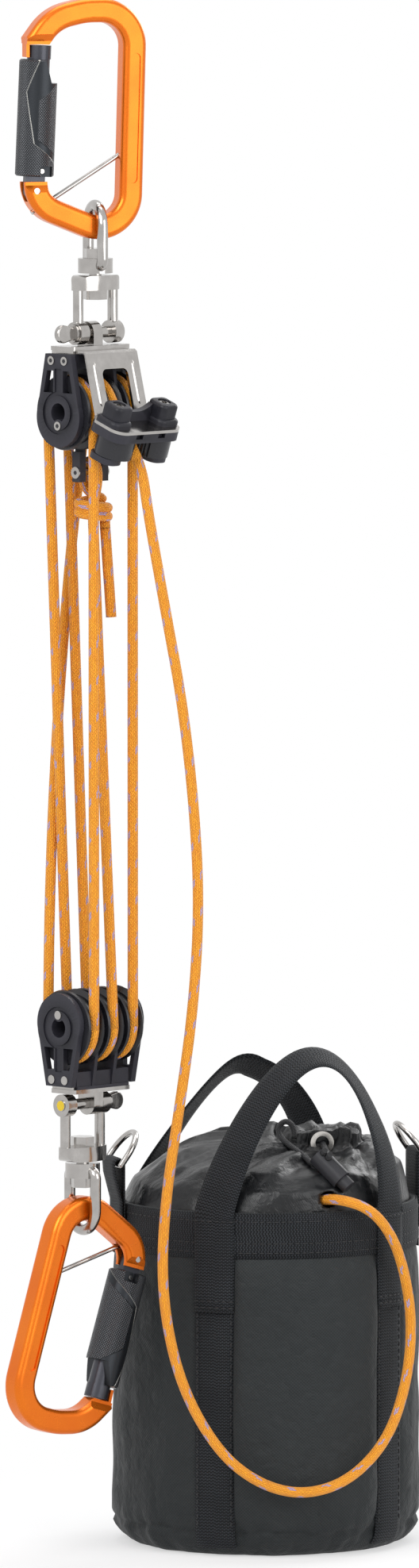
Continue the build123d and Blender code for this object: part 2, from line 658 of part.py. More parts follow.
def rope_at_cleat(x):
    """Height of the rope's centre at x on its straight run from the middle sheave."""
    angle = math.radians(CLEAT_ROPE_ANGLE)
    start_x = SHEAVE_PITCH_R * math.cos(angle)
    start_z = SHEAVE_PITCH_R * math.sin(angle)
    return start_z - (x - start_x) / math.tan(angle)


def cleat_exit():
    """Where the rope leaves the cleat, in the upper block's frame."""
    below = CAM_BASE_H + CAM_H + KEEPER_H + 2 * CAM_GAP
    x = CLEAT_FRONT + 0.6
    return x, 0.0, min(rope_at_cleat(x), -CLEAT_DROP - below * math.cos(math.radians(CLEAT_TILT)) + 2.0)


def cam(side):
    """Toothed eccentric cam about its pivot, its face towards the rope."""
    lead = math.radians(CAM_LEAD)
    centre_x = CAM_OFFSET * math.sin(lead)
    centre_y = -side * CAM_OFFSET * math.cos(lead)
    low = -CAM_BASE_H - CAM_GAP - CAM_H
    body = Pos(centre_x, centre_y, low) * extrude(Circle(CAM_R), amount=CAM_H)
    for index in range(CAM_TEETH):
        angle = math.radians(-side * 90 + side * (index - CAM_TEETH // 2) * 13.0)
        spot = Pos(centre_x + CAM_R * math.cos(angle), centre_y + CAM_R * math.sin(angle), low + CAM_H / 2)
        body = body - spot * Rot(0, 0, math.degrees(angle) + 45) * Box(0.9, 0.9, CAM_H + 1)
    return body - rod((0, 0, low - 1), (0, 0, 0), CAM_PIVOT_R + RUN_GAP)


def cam_pivot_half():
    """Pivot distance that leaves the rope its gap between the cams."""
    reach = CAM_OFFSET * math.cos(math.radians(CAM_LEAD)) + CAM_R
    return reach + ROPE_D / 2 + CAM_ROPE_GAP


def cam_cleat(block_place):
    """Bracket, base, cams, keepers and cover; returns the screws."""
    at = block_place * cleat_place()
    half_w = CLEAT_WIDTH / 2
    half_d = CLEAT_DEPTH / 2
    pivot = cam_pivot_half()
    rope_slot = ROPE_D / 2 + CAM_ROPE_GAP + 0.4

    tilt = math.radians(CLEAT_TILT)
    back_x = CLEAT_FRONT - half_d * math.cos(tilt)
    back_z = -CLEAT_DROP + half_d * math.sin(tilt)
    flange_z = HEAD_HEIGHT
    flange_half = cheek_inner() - STRAP_LEG_THICK - SIDE_GAP
    top = block(-HEAD_PLATE[0] / 2, BRACKET_KNEE, -flange_half, flange_half, flange_z, flange_z + HEAD_SHIM)
    run_x = back_x - BRACKET_KNEE
    run_z = back_z - flange_z
    run = math.hypot(run_x, run_z)
    off_x = -run_z / run * SHEET
    off_z = run_x / run * SHEET
    knee = (BRACKET_KNEE, flange_z)
    slope = [knee, (back_x, back_z), (back_x + off_x, back_z + off_z), (knee[0] + off_x, knee[1] + off_z),
             (knee[0], flange_z + HEAD_SHIM)]
    legs = extruded_xz(slope, -flange_half, flange_half)
    window_top = flange_z - 0.24 * abs(run_z)
    window = block(0, CLEAT_FRONT, -BRACKET_WINDOW_HALF, BRACKET_WINDOW_HALF, back_z - 8, window_top)
    window = fillet(window.edges().filter_by(Axis.X).group_by(Axis.Z)[-1], BRACKET_WINDOW_R)
    plate = extrude(RectangleRounded(CLEAT_DEPTH, CLEAT_WIDTH, half_d * 0.6), amount=SHEET)
    plate = cleat_place() * plate
    bracket = top + legs + plate
    bracket = bracket - (window & (legs + block(back_x - 6, back_x + 4, -half_w, half_w, back_z - 6, back_z + 6)))
    for side in (-1, 1):
        bracket = bracket - cleat_place() * rod((0, side * pivot, -1), (0, side * pivot, SHEET + 1),
                                                CAM_PIVOT_R + SEAT_GAP)
    keep("cam_bracket", block_place * bracket)

    base = extrude(RectangleRounded(CLEAT_DEPTH, CLEAT_WIDTH, half_d * 0.6), amount=-CAM_BASE_H)
    base = base - block(-half_d - 1, half_d - 2.5, -rope_slot, rope_slot, -CAM_BASE_H - 1, 1)
    keeper_top = -CAM_BASE_H - CAM_H - 2 * CAM_GAP
    keepers = []
    notch_x, notch_y, notch_z = BASE_NOTCH
    for side in (-1, 1):
        base = base - Pos(half_d, side * BASE_NOTCH_Y, -notch_z / 2) * Box(2 * notch_x, notch_y, notch_z)
        hole = rod((0, side * pivot, keeper_top - KEEPER_H - 1), (0, side * pivot, 1), CAM_PIVOT_R + SEAT_GAP)
        base = base - hole
        keeper = Pos(0, side * pivot, keeper_top) * extrude(RectangleRounded(15.0, 12.0, 5.0), amount=-KEEPER_H)
        keepers.append(at * (keeper - hole))
        keep("cam_left" if side < 0 else "cam_right", at * Pos(0, side * pivot, 0) * cam(side))
    keep("cam_base", at * base)
    keep("cam_keepers", Compound(children=keepers))

    cover_low = SHEET
    boss_top = cover_low + COVER_H + BOSS_H
    wall_back, wall_front = COVER_WALL
    cover = block(wall_back, wall_front, -pivot, pivot, cover_low, boss_top - COVER_ROUND)
    saddle_z = cover_low + 1.5 * COVER_H + COVER_SADDLE_R
    cover = cover - rod((wall_back - 1, 0, saddle_z), (wall_front + 1, 0, saddle_z), COVER_SADDLE_R)
    screws = []
    for side in (-1, 1):
        foot = Pos(0, side * (pivot + 0.5), cover_low) * extrude(
            RectangleRounded(BOSS_SIZE + 4, BOSS_SIZE + 2, BOSS_ROUND + 0.5), amount=COVER_H)
        cover = cover + fillet(foot.edges().group_by(Axis.Z)[-1], COVER_ROUND)
        boss = Pos(0, side * pivot, cover_low) * extrude(RectangleRounded(BOSS_SIZE + 1, BOSS_SIZE, BOSS_ROUND),
                                                         amount=COVER_H + BOSS_H)
        cover = cover + fillet(boss.edges().group_by(Axis.Z)[-1], COVER_ROUND)
    for side in (-1, 1):
        cover = cover - rod((0, side * pivot, 0), (0, side * pivot, boss_top + 1), CAM_PIVOT_R + SEAT_GAP)
        cover = cover - rod((0, side * pivot, boss_top - SCREW_HEAD_H - 0.6), (0, side * pivot, boss_top + 1),
                            SCREW_HEAD_R + 0.2)
        shaft = rod((0, side * pivot, keeper_top - KEEPER_H), (0, side * pivot, boss_top - SCREW_HEAD_H - 0.6),
                    CAM_PIVOT_R)
        head = rod((0, side * pivot, boss_top - SCREW_HEAD_H - 0.6), (0, side * pivot, boss_top - 0.6), SCREW_HEAD_R)
        socket = Pos(0, side * pivot, boss_top - 0.6) * extrude(RegularPolygon(1.5, 6), amount=-1.2)
        screws.append(at * (shaft + head - socket))
    keep("fairlead_cover", at * cover)
    return screws


# Becket and its knot

def becket(place):
    """Two prongs under the dividers; returns their pin."""
    prongs = []
    divider_end = 14.0
    for side in (-1, 1):
        near = sheave_pitch() / 2 - DIVIDER_THICK / 2
        far = near + DIVIDER_THICK
        web = block(-BECKET_HALF_X, BECKET_HALF_X, near, far, -SHEAVE_R - 2.0, -divider_end)
        prong = block(-BECKET_HALF_X, BECKET_HALF_X, near, near + BECKET_PRONG, -BECKET_LENGTH, -SHEAVE_R - 1.0)
        prong = prong + web - y_rod(0, 0, near + 2 * BECKET_PRONG, -BECKET_PIN_DROP, BECKET_PIN_R + SEAT_GAP)
        prongs.append(place * (prong if side > 0 else mirror(prong, about=Plane.XZ)))
    keep("becket", Compound(children=prongs))
    reach = sheave_pitch() / 2 - DIVIDER_THICK / 2 + BECKET_PRONG
    pin = y_rod(0, -reach, reach, -BECKET_PIN_DROP, BECKET_PIN_R)
    pin = pin + y_rod(0, -reach - RIVET_HEAD_H, -reach, -BECKET_PIN_DROP, BECKET_PIN_R + 0.8)
    pin = pin + y_rod(0, reach, reach + RIVET_HEAD_H, -BECKET_PIN_DROP, BECKET_PIN_R + 0.8)
    return place * pin


def knot_floor():
    """Foot of the knot's core, below the axle."""
    return KNOT_TOP_DROP + KNOT_WRAPS * (ROPE_D + 0.2) + 2.0


def becket_knot(place):
    """Loop round the becket pin, knot with its wraps, and the dead end."""
    rope_r = ROPE_D / 2
    loop_r = BECKET_PIN_R + rope_r + ROPE_GROOVE_GAP
    section = Plane.XY * Pos(loop_r, 0) * Circle(rope_r)
    loop = Pos(0, 0, -BECKET_PIN_DROP) * revolve(section, axis=Axis.Y, revolution_arc=-180)
    knot = loop
    for side in (-1, 1):
        leg_top = (side * loop_r, 0, -BECKET_PIN_DROP)
        leg_foot = (side * loop_r * 0.4 + KNOT_X * 0.5, 0, -KNOT_TOP_DROP - 2)
        section = Plane(origin=leg_top, x_dir=(1, 0, 0), z_dir=(0, 0, -1)) * Circle(rope_r)
        span = Vector(*leg_foot) - Vector(*leg_top)
        knot = knot + extrude(section, amount=span.length, dir=span)
    core = rod((KNOT_X, 0, -knot_floor()), (KNOT_X, 0, -KNOT_TOP_DROP), KNOT_CORE_R)
    knot = knot + core
    for index in range(KNOT_WRAPS):
        wrap_z = -KNOT_TOP_DROP - rope_r - 0.5 - index * (ROPE_D + 0.2)
        knot = knot + Pos(KNOT_X, 0, wrap_z) * Torus(KNOT_WRAP_R, rope_r)
    tail_y = ROPE_D + 0.5
    tail_top = (KNOT_X + 1.0, tail_y, -knot_floor() + 3)
    tail_foot = (KNOT_X + 4.0, tail_y + 2.5, -knot_floor() - DEAD_END_LENGTH)
    knot = knot + rod(tail_top, tail_foot, rope_r)
    keep("becket_knot", place * knot)


# Tackle rope

def falls(place):
    """The six falls between the blocks, cut level with the axles."""
    top = -FALL_END_GAP
    foot = -AXLE_SPACING + FALL_END_GAP
    pitch = sheave_pitch()
    front = SHEAVE_PITCH_R
    back = -SHEAVE_PITCH_R
    rope_r = ROPE_D / 2
    straight = [
        ((back, -pitch, top), (back, 0, foot)),
        ((back, 0, top), (back, pitch, foot)),
        ((front, -pitch, top), (front, -pitch, foot)),
        ((front, pitch, top), (front, pitch, foot)),
        ((KNOT_X, 0, -knot_floor() - FALL_END_GAP), (front, 0, foot)),
    ]
    runs = []
    for start, end in straight:
        span = Vector(*end) - Vector(*start)
        section = Plane(origin=start, x_dir=(1, 0, 0), z_dir=(0, 0, -1)) * Circle(rope_r)
        runs.append(place * extrude(section, amount=span.length, dir=span))
    over = 2.0
    middle = (back - CROSSING_BOW, 0, -AXLE_SPACING / 2)
    start = Vector(back, pitch, 0)
    end = Vector(back, -pitch, -AXLE_SPACING)
    ends = [start + (start - Vector(*middle)).normalized() * over, end + (end - Vector(*middle)).normalized() * over]
    bend = (Vector(*middle) - start).get_angle(end - Vector(*middle))
    radius = FILLET_SHARE * (Vector(*middle) - start).length / math.tan(math.radians(bend / 2))
    crossing = tube_along(FilletPolyline(ends[0], middle, ends[1], radius=[radius]), rope_r)
    crossing = crossing & block(-60, 60, -60, 60, foot, top)
    runs.append(place * crossing)
    keep("rope_falls", Compound(children=runs))


def upper_turns(place):
    """Rope over the upper sheaves, the middle one running on to the cleat."""
    left, middle, right = sheave_places()
    angle = math.radians(CLEAT_ROPE_ANGLE)
    start = (SHEAVE_PITCH_R * math.cos(angle), middle, SHEAVE_PITCH_R * math.sin(angle))
    to_cleat = rope_turn(middle, CLEAT_ROPE_ANGLE, 180) + rod(start, cleat_exit(), ROPE_D / 2)
    turns = [rope_turn(left, 0, 180), to_cleat, rope_turn(right, 0, 180)]
    keep("rope_upper_turns", Compound(children=[place * turn for turn in turns]))


def lower_turns(place):
    """Rope under the lower sheaves."""
    turns = [place * rope_turn(middle, 0, 180) for middle in sheave_places()]
    keep("rope_lower_turns", Compound(children=turns))


# Bag

def ring_wall(inner, outer, z0, z1):
    """A round wall about the bag's axis."""
    return rod((0, 0, z0), (0, 0, z1), outer) - rod((0, 0, z0), (0, 0, z1), inner)


def sector(angle, width, inner, outer, z0, z1):
    """A piece of wall of a given width at an angle from the bag's front."""
    cut = block(-width / 2, width / 2, -outer - 5, 0, z0, z1)
    return Rot(0, 0, angle) * (ring_wall(inner, outer, z0, z1) & cut)


def strap_angles():
    """Angles of the four straps from the front."""
    return [-STRAP_ANGLE, STRAP_ANGLE, 180 - STRAP_ANGLE, 180 + STRAP_ANGLE]


def webbing_layers():
    """Inner and outer radius of the first and second webbing layer."""
    first = BAG_R + WEBBING_GAP
    second = first + WEBBING + WEBBING_GAP
    return first, second


def bag_shell(place):
    """Round shell with a floor and an open top."""
    outside = fillet(rod((0, 0, 0), (0, 0, BAG_H), BAG_R).edges().group_by(Axis.Z)[0], BAG_EDGE_R)
    inside = fillet(rod((0, 0, BAG_WALL), (0, 0, BAG_H + 1), BAG_R - BAG_WALL).edges().group_by(Axis.Z)[0],
                    BAG_EDGE_R - BAG_WALL)
    keep("bag_shell", place * (outside - inside))


def bag_webbing(place):
    """Rim band, four straps and the two ring tabs."""
    first, second = webbing_layers()
    band_foot = BAG_H - BAND_H
    pieces = [place * ring_wall(first, first + WEBBING, band_foot, BAG_H)]
    for angle in strap_angles():
        low = sector(angle, WEBBING_WIDTH, first, second, STRAP_FOOT, band_foot - WEBBING_GAP)
        high = sector(angle, WEBBING_WIDTH, second, second + WEBBING, band_foot - STRAP_LAP, BAG_H)
        pieces.append(place * (low + high))
    for angle in (-90, 90):
        tab = sector(angle, WEBBING_WIDTH, second, second + WEBBING, band_foot - STRAP_LAP, BAG_H + TAB_RISE)
        middle = second + TAB_BARREL_R
        barrel = rod((-WEBBING_WIDTH / 2, -middle, BAG_H + TAB_RISE), (WEBBING_WIDTH / 2, -middle, BAG_H + TAB_RISE),
                     TAB_BARREL_R)
        neck = block(-WEBBING_WIDTH / 2, WEBBING_WIDTH / 2, -middle, -second * math.cos(math.radians(7.9)),
                     BAG_H + TAB_RISE - 2 * TAB_BARREL_R, BAG_H + TAB_RISE)
        hole = rod((-WEBBING_WIDTH, -middle, BAG_H + TAB_RISE), (WEBBING_WIDTH, -middle, BAG_H + TAB_RISE),
                   RING_WIRE_R + RING_GAP)
        pieces.append(place * (tab + Rot(0, 0, angle) * (barrel + neck - hole) - Rot(0, 0, angle) * hole))
    keep("bag_webbing", Compound(children=pieces))


def d_rings(place):
    """One D-ring in each tab, leaning towards the bag's middle."""
    half = WEBBING_WIDTH / 2 + RING_WIRE_R + 1.0
    for name, angle in (("left_d_ring", -90), ("right_d_ring", 90)):
        middle = webbing_layers()[1] + TAB_BARREL_R
        ring = rod((-half, 0, 0), (half, 0, 0), RING_WIRE_R)
        for side in (-half, half):
            ring = ring + Pos(side, 0, 0) * Sphere(RING_WIRE_R) + rod((side, 0, 0), (side, 0, RING_LEG), RING_WIRE_R)
        arc = revolve(Plane.XY * Pos(half, 0) * Circle(RING_WIRE_R), axis=Axis.Y, revolution_arc=-180)
        ring = ring + Pos(0, 0, RING_LEG) * arc
        leaning = Pos(0, -middle, BAG_H + TAB_RISE) * Rot(-RING_LEAN, 0, 0) * ring
        keep(name, place * Rot(0, 0, angle) * leaning)


def handle_spot(front, angle):
    """Middle of a handle's webbing at an angle round its arch, the left leg leaning in."""
    middle = webbing_layers()[1] + WEBBING / 2
    strap = math.radians(STRAP_ANGLE)
    rise = HANDLE_RISE if front else BACK_HANDLE_RISE
    lean, kept = HANDLE_LEAN if front else BACK_HANDLE_LEAN
    side = 1 if front else -1
    up = abs(math.sin(angle))
    shift = lean * up * max(0.0, kept + (1 - kept) * side * math.cos(angle))
    return Vector(side * shift - middle * math.sin(strap) * math.cos(angle), -middle * math.cos(strap),
                  BAG_H + rise * up)


def handle(front):
    """Webbing arch that turns flat over its top."""
    sections = []
    last = HANDLE_SECTIONS - 1
    for index in range(HANDLE_SECTIONS):
        share = index / last
        angle = math.pi * share
        spot = handle_spot(front, angle)
        if index in (0, last):
            along = Vector(0, 0, 1 if index == 0 else -1)
        else:
            along = (handle_spot(front, angle + 0.05) - handle_spot(front, angle - 0.05)).normalized()
        turn = math.radians(-STRAP_ANGLE - (180 - 2 * STRAP_ANGLE) * share)
        across = Vector(math.cos(turn), math.sin(turn), 0)
        across = (across - along * across.dot(along)).normalized()
        sections.append(Plane(origin=spot, x_dir=across, z_dir=along) * Rectangle(WEBBING_WIDTH, WEBBING))
    arch = loft(sections)
    return arch if front else Rot(0, 0, 180) * arch


def bag_collar():
    """Gathered fabric cone with a short neck, and the gap that the rope leaves by."""
    foot_r = BAG_R - BAG_WALL - SIDE_GAP
    shells = []
    for inset in (0.0, COLLAR_WALL):
        skirt = rod((0, 0, BAG_H - COLLAR_LAP), (0, 0, BAG_H), foot_r - inset)
        rings = [Plane.XY.offset(BAG_H) * Circle(foot_r - inset),
                 Plane.XY.offset(BAG_H + DOME_RISE - inset * 0.9) * Pos(DOME_X, DOME_Y) * Circle(DOME_R - inset),
                 Plane.XY.offset(BAG_H + NECK_FOOT - inset) * Pos(NECK_X, NECK_Y) * Circle(NECK_R - inset)]
        cone = loft(rings[:2]) + loft(rings[1:])
        neck = rod((NECK_X, NECK_Y, BAG_H + NECK_FOOT - inset), (NECK_X, NECK_Y, BAG_H + NECK_TOP), NECK_R - inset)
        shells.append(skirt + cone + neck)
    return shells[0] - shells[1]


def eased(points):
    """Straight runs joined by arcs as large as the runs allow."""
    spots = [Vector(*spot) for spot in points]
    radii = []
    for before, here, after in zip(spots, spots[1:], spots[2:]):
        run_in = here - before
        run_out = after - here
        turn = math.radians(run_in.get_angle(run_out))
        radii.append(FILLET_SHARE * min(run_in.length, run_out.length) / math.tan(turn / 2))
    return FilletPolyline(*spots, radius=radii), radii


def cord_lock(place):
    """Barrel, sprung button and drawcord by the collar's neck."""
    centre = Vector(*LOCK_CENTRE)
    axis = Vector(*LOCK_LEAN).normalized()
    end = centre + axis * (LOCK_LENGTH / 2)
    start = centre - axis * (LOCK_LENGTH / 2)
    barrel = rod(start, end, LOCK_R)
    barrel = barrel - rod(end - axis * (LOCK_BUTTON_IN + 3.5), end + axis, LOCK_BUTTON_R + RUN_GAP)
    cords = []
    for route in CORD_ROUTES:
        wire = eased(route)[0]
        cords.append(place * tube_along(wire, CORD_R))
        barrel = barrel - tube_along(wire, CORD_R + 0.25)
    keep("cord_lock", place * barrel)
    button = rod(end - axis * LOCK_BUTTON_IN, end + axis * LOCK_BUTTON_OUT, LOCK_BUTTON_R)
    keep("cord_lock_button", place * button)
    keep("drawcord", Compound(children=cords))


def eyelet_ring(hole_only):
    """Ring on the front of the collar's neck, or the bore through it."""
    at = Pos(NECK_X, NECK_Y, BAG_H + (NECK_FOOT + NECK_TOP) / 2) * Rot(0, 0, -BAG_TURN)
    bore = at * y_rod(0, -NECK_R - 6, -NECK_R + 6, 0, EYELET_HOLE_R)
    if hole_only:
        return bore
    return at * y_rod(0, -NECK_R - EYELET_THICK, -NECK_R + 1.3, 0, EYELET_R) - bore


def coil_points():
    """Half-turn ends of the stored coil, layer by layer, in and out again."""
    rope_r = ROPE_D / 2
    outer = COIL_INNER_R + COIL_STEP * COIL_TURNS
    floor = BAG_WALL + rope_r + COIL_FLOOR_GAP
    points = []
    side = -1
    radius = outer
    for layer in range(COIL_LAYERS):
        step = -COIL_STEP / 2 if layer % 2 == 0 else COIL_STEP / 2
        for half in range(2 * COIL_TURNS):
            points.append(Vector(side * radius, 0, floor + layer * COIL_STEP))
            side = -side
            radius += step
        radius -= step
    return points


def stored_rope(place):
    """One unbroken tube of half turns, with straight ends."""
    points = coil_points()
    edges = []
    bulge = 1
    first = points[0]
    edges.append(Line(first - Vector(0, ROPE_D, 0), first))
    for start, end in zip(points, points[1:]):
        middle = (start + end) * 0.5 + Vector(0, bulge * (end - start).length / 2, 0)
        edges.append(ThreePointArc(start, middle, end))
        bulge = -bulge
    last = points[-1]
    edges.append(Line(last, last + Vector(0, bulge * ROPE_D, 0)))
    wire = Wire([edge for line in edges for edge in line.edges()])
    keep("stored_rope", place * tube_along(wire, ROPE_D / 2))
    return last + Vector(0, bulge * (ROPE_D + FALL_END_GAP), 0), bulge, wire.length


def least_coil_gap():
    """Least clear distance between turns of the coil, measured on points."""
    points = coil_points()
    spots = []
    bulge = 1
    for index, (start, end) in enumerate(zip(points, points[1:])):
        centre = (start + end) * 0.5
        arm = (start - end) * 0.5
        for step in range(12):
            angle = math.pi * step / 12
            spots.append((index, centre + arm * math.cos(angle)
                          + Vector(0, bulge * arm.length * math.sin(angle), 0)))
        bulge = -bulge
    least = None
    for index, spot in spots:
        for other, place in spots:
            if other > index + 1:
                gap = (spot - place).length - ROPE_D
                least = gap if least is None else min(least, gap)
    return least


# Assembly

anchor_place = Location((0, 0, 0), (0, 0, ANCHOR_TURN))
carabiner("anchor", anchor_place)

foot_x, foot_arc_z = foot_centre()
turn = math.radians(ANCHOR_TURN)
chain_x = foot_x * math.cos(turn)
chain_y = foot_x * math.sin(turn)
upper_swivel_place = Location((chain_x, chain_y, FOOT_Z))
jaw_turn = BLOCK_TURN + 90
swivel("upper", upper_swivel_place, ANCHOR_TURN - 90, jaw_turn, -1)

axle_to_pin = HEAD_HEIGHT + HEAD_SHIM + HEAD_PLATE[2] + TANG_RISE
axle_dir = Vector(1, 0, 0).rotate(Axis.Z, jaw_turn)
block_xy = Vector(chain_x, chain_y, 0) - axle_dir * UPPER_PIN_PLAY
upper_axle_z = FOOT_Z - SWIVEL_LENGTH - axle_to_pin
upper_place = Location((block_xy.X, block_xy.Y, upper_axle_z), (0, 0, BLOCK_TURN))
fasteners = triple_block("upper", upper_place)
fasteners += cam_cleat(upper_place)
fasteners.append(becket(upper_place))
keep("upper_fasteners", Compound(children=fasteners))
becket_knot(upper_place)
upper_turns(upper_place)
falls(upper_place)

lower_axle_z = upper_axle_z - AXLE_SPACING
lower_place = Location((block_xy.X, block_xy.Y, lower_axle_z), (0, 0, BLOCK_TURN)) * Rot(180, 0, 0)
keep("lower_rivets", Compound(children=triple_block("lower", lower_place)))
pad_x, pad_y, pad_z = HEAD_PLATE
pad_half = cheek_inner() - STRAP_LEG_THICK - SIDE_GAP
keep("lower_head_pad", lower_place * block(-pad_x / 2 - 0.6, pad_x / 2 + 0.6, -pad_half, pad_half,
                                           HEAD_HEIGHT, HEAD_HEIGHT + HEAD_SHIM))
lower_turns(lower_place)

hang_xy = block_xy + axle_dir * LOWER_PIN_PLAY
load_pivot_z = lower_axle_z - axle_to_pin - SWIVEL_LENGTH
lower_swivel_place = Location((hang_xy.X, hang_xy.Y, load_pivot_z)) * Rot(180, 0, 0)
swivel("lower", lower_swivel_place, 90 - LOAD_TURN, -jaw_turn, 1)

tilt = math.radians(LOAD_TILT)
grip_x = foot_x + FOOT_R * math.sin(tilt)
grip_z = foot_arc_z - FOOT_R * math.cos(tilt)
load_place = (Location((hang_xy.X, hang_xy.Y, load_pivot_z), (0, 0, LOAD_TURN))
              * Rot(0, 180 + LOAD_TILT, 0) * Pos(-grip_x, 0, -grip_z))
carabiner("load", load_place)

bag_place = Location((BAG_X, BAG_Y, BAG_BASE_Z), (0, 0, BAG_TURN))
bag_shell(bag_place)
bag_webbing(bag_place)
d_rings(bag_place)
keep("bag_handles", Compound(children=[bag_place * handle(True), bag_place * handle(False)]))
cord_lock(bag_place * Pos(0, 0, BAG_H))
coil_place = Location((BAG_X, BAG_Y, BAG_BASE_Z))
coil_end, coil_heading, coil_length = stored_rope(coil_place)

exit_point = upper_place * Location(cleat_exit())
tail_start = exit_point.position
tail_end = coil_place * Location(coil_end)
end_point = tail_end.position
last_corner = end_point + Vector(0, coil_heading * TAIL_LAST_RUN, 0)
leave = math.radians(CLEAT_ROPE_ANGLE)
heading = Vector(math.sin(leave), 0, -math.cos(leave)).rotate(Axis.Z, BLOCK_TURN)
tail_start = tail_start + heading * FALL_END_GAP
first_corner = tail_start + heading * TAIL_FIRST_RUN
base_middle = Vector(BAG_X, BAG_Y, BAG_BASE_Z)
rim_middle = base_middle + Vector(0, 0, BAG_H)
over_rim = [rim_middle + Vector(*spot) for spot in TAIL_OVER_RIM]
inside = [base_middle + Vector(*spot) for spot in TAIL_INSIDE]
hang = [Vector(*spot) for spot in TAIL_HANG]
tail_points = [tail_start, first_corner] + hang + over_rim + inside + [last_corner, end_point]
tail_wire, tail_radii = eased(tail_points)
print("tail radii", [round(radius) for radius in tail_radii])
tail = tube_along(tail_wire, ROPE_D / 2)
keep("rope_tail", tail)
eyelet = eyelet_ring(False)
collar = bag_collar() - eyelet - eyelet_ring(True)
rope_gap = tube_along(eased(over_rim[4:9])[0], ROPE_D / 2 + 1.5)
keep("bag_collar", bag_place * collar - rope_gap)
keep("bag_eyelet", bag_place * eyelet)

print("coil gap", round(least_coil_gap(), 2), "coil length", round(coil_length))
print("tail length", round(tail_wire.length), "volume ratio",
      round(tail.volume / (tail_wire.length * math.pi * (ROPE_D / 2) ** 2), 4))

os.makedirs("parts", exist_ok=True)
for name, shape in PARTS.items():
    export_step(shape, f"parts/{name}.step")
print(len(PARTS), "nodes")
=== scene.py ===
"""Looks of a rescue pulley system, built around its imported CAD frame."""

import json
import logging
import math
from dataclasses import dataclass
from dataclasses import field
from enum import Enum
from functools import partial
from functools import reduce
from typing import Callable
from typing import Sequence

import bmesh
import bpy
from mathutils import Matrix
from mathutils import Vector
from mathutils import noise

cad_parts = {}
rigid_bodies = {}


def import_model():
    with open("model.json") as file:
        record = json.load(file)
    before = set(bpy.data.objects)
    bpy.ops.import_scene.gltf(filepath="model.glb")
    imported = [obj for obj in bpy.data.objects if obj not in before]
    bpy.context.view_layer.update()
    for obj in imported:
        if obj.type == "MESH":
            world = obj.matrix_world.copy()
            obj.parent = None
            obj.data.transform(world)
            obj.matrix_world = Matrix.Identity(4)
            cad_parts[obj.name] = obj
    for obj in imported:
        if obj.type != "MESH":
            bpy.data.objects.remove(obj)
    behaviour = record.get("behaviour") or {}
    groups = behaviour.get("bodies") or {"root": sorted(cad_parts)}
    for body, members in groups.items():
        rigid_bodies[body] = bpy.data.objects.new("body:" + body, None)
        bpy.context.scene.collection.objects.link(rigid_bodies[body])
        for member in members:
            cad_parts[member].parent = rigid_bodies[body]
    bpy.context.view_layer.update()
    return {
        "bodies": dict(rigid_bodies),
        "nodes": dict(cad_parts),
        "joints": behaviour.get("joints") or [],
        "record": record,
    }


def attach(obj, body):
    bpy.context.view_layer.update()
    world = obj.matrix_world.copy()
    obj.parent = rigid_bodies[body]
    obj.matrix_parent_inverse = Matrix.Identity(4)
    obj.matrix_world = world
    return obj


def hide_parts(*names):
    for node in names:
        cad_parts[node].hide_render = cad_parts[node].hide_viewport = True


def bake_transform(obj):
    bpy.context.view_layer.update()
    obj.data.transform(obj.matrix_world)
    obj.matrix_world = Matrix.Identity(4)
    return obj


LOG = logging.getLogger("rescue_pulley")
MM = 0.001
CM_PER_M = 100.0
MM_PER_CM = 10.0
MAP_NAME = "lay"        # the map that cloth, webbing and braid are drawn on, in centimetres
UP = Vector((0.0, 0.0, 1.0))

Point = tuple[float, float, float]
Line = Sequence[Vector]
Socket = bpy.types.NodeSocket
Material = bpy.types.Material
Piece = bpy.types.Object


def unit(value: float) -> float:
    """Hold a value between nought and one."""
    return min(1.0, max(0.0, value))


def hex_linear(code: str) -> tuple[float, float, float, float]:
    """Turn six sRGB hex digits into linear light, with an alpha of one."""
    channels = [int(code[i:i + 2], 16) / 255 for i in (0, 2, 4)]
    linear = [c / 12.92 if c <= 0.04045 else ((c + 0.055) / 1.055) ** 2.4 for c in channels]
    return (linear[0], linear[1], linear[2], 1.0)


def add_node(tree: bpy.types.NodeTree, kind: str, *values, named: dict | None = None, out: int | str | None = 0,
             **settings) -> Socket | bpy.types.Node:
    """Add one node with its settings and inputs.

    Args:
        tree: Node tree that gets the node.
        kind: Type name, without its first word for a shader node, and with the operation after a colon.
        values: Sockets, numbers or hex colours for the inputs, in their order.
        named: The same for inputs by name or index.
        out: Which output to return, or None for the node itself.
        settings: Other properties of the node.

    Returns:
        The chosen output socket, or the node.
    """
    kind, _, operation = kind.partition(":")
    node = tree.nodes.new(kind if "Node" in kind else f"ShaderNode{kind}")
    if operation:
        node.operation = operation
    for name, value in settings.items():
        setattr(node, name, value)
    for key, value in [*enumerate(values), *(named or {}).items()]:
        if isinstance(value, Socket):
            tree.links.new(value, node.inputs[key])
        else:
            node.inputs[key].default_value = hex_linear(value) if isinstance(value, str) else value
    return node if out is None else node.outputs[out]


def new_material(name: str) -> tuple[Material, Callable]:
    """Start an empty material, with add_node bound to its tree."""
    material = bpy.data.materials.new(name)
    material.use_nodes = True
    material.node_tree.nodes.clear()
    return material, partial(add_node, material.node_tree)


class Finish:
    """What all finishes share: a material around the shader whose inputs they state."""

    def build(self, *given: Matrix) -> Material:
        """Make the material; what is given goes on to the finish's own shader."""
        material, add = new_material(self.name)
        add("OutputMaterial", add("BsdfPrincipled", named=self.shader(add, *given)), out=None)
        return material


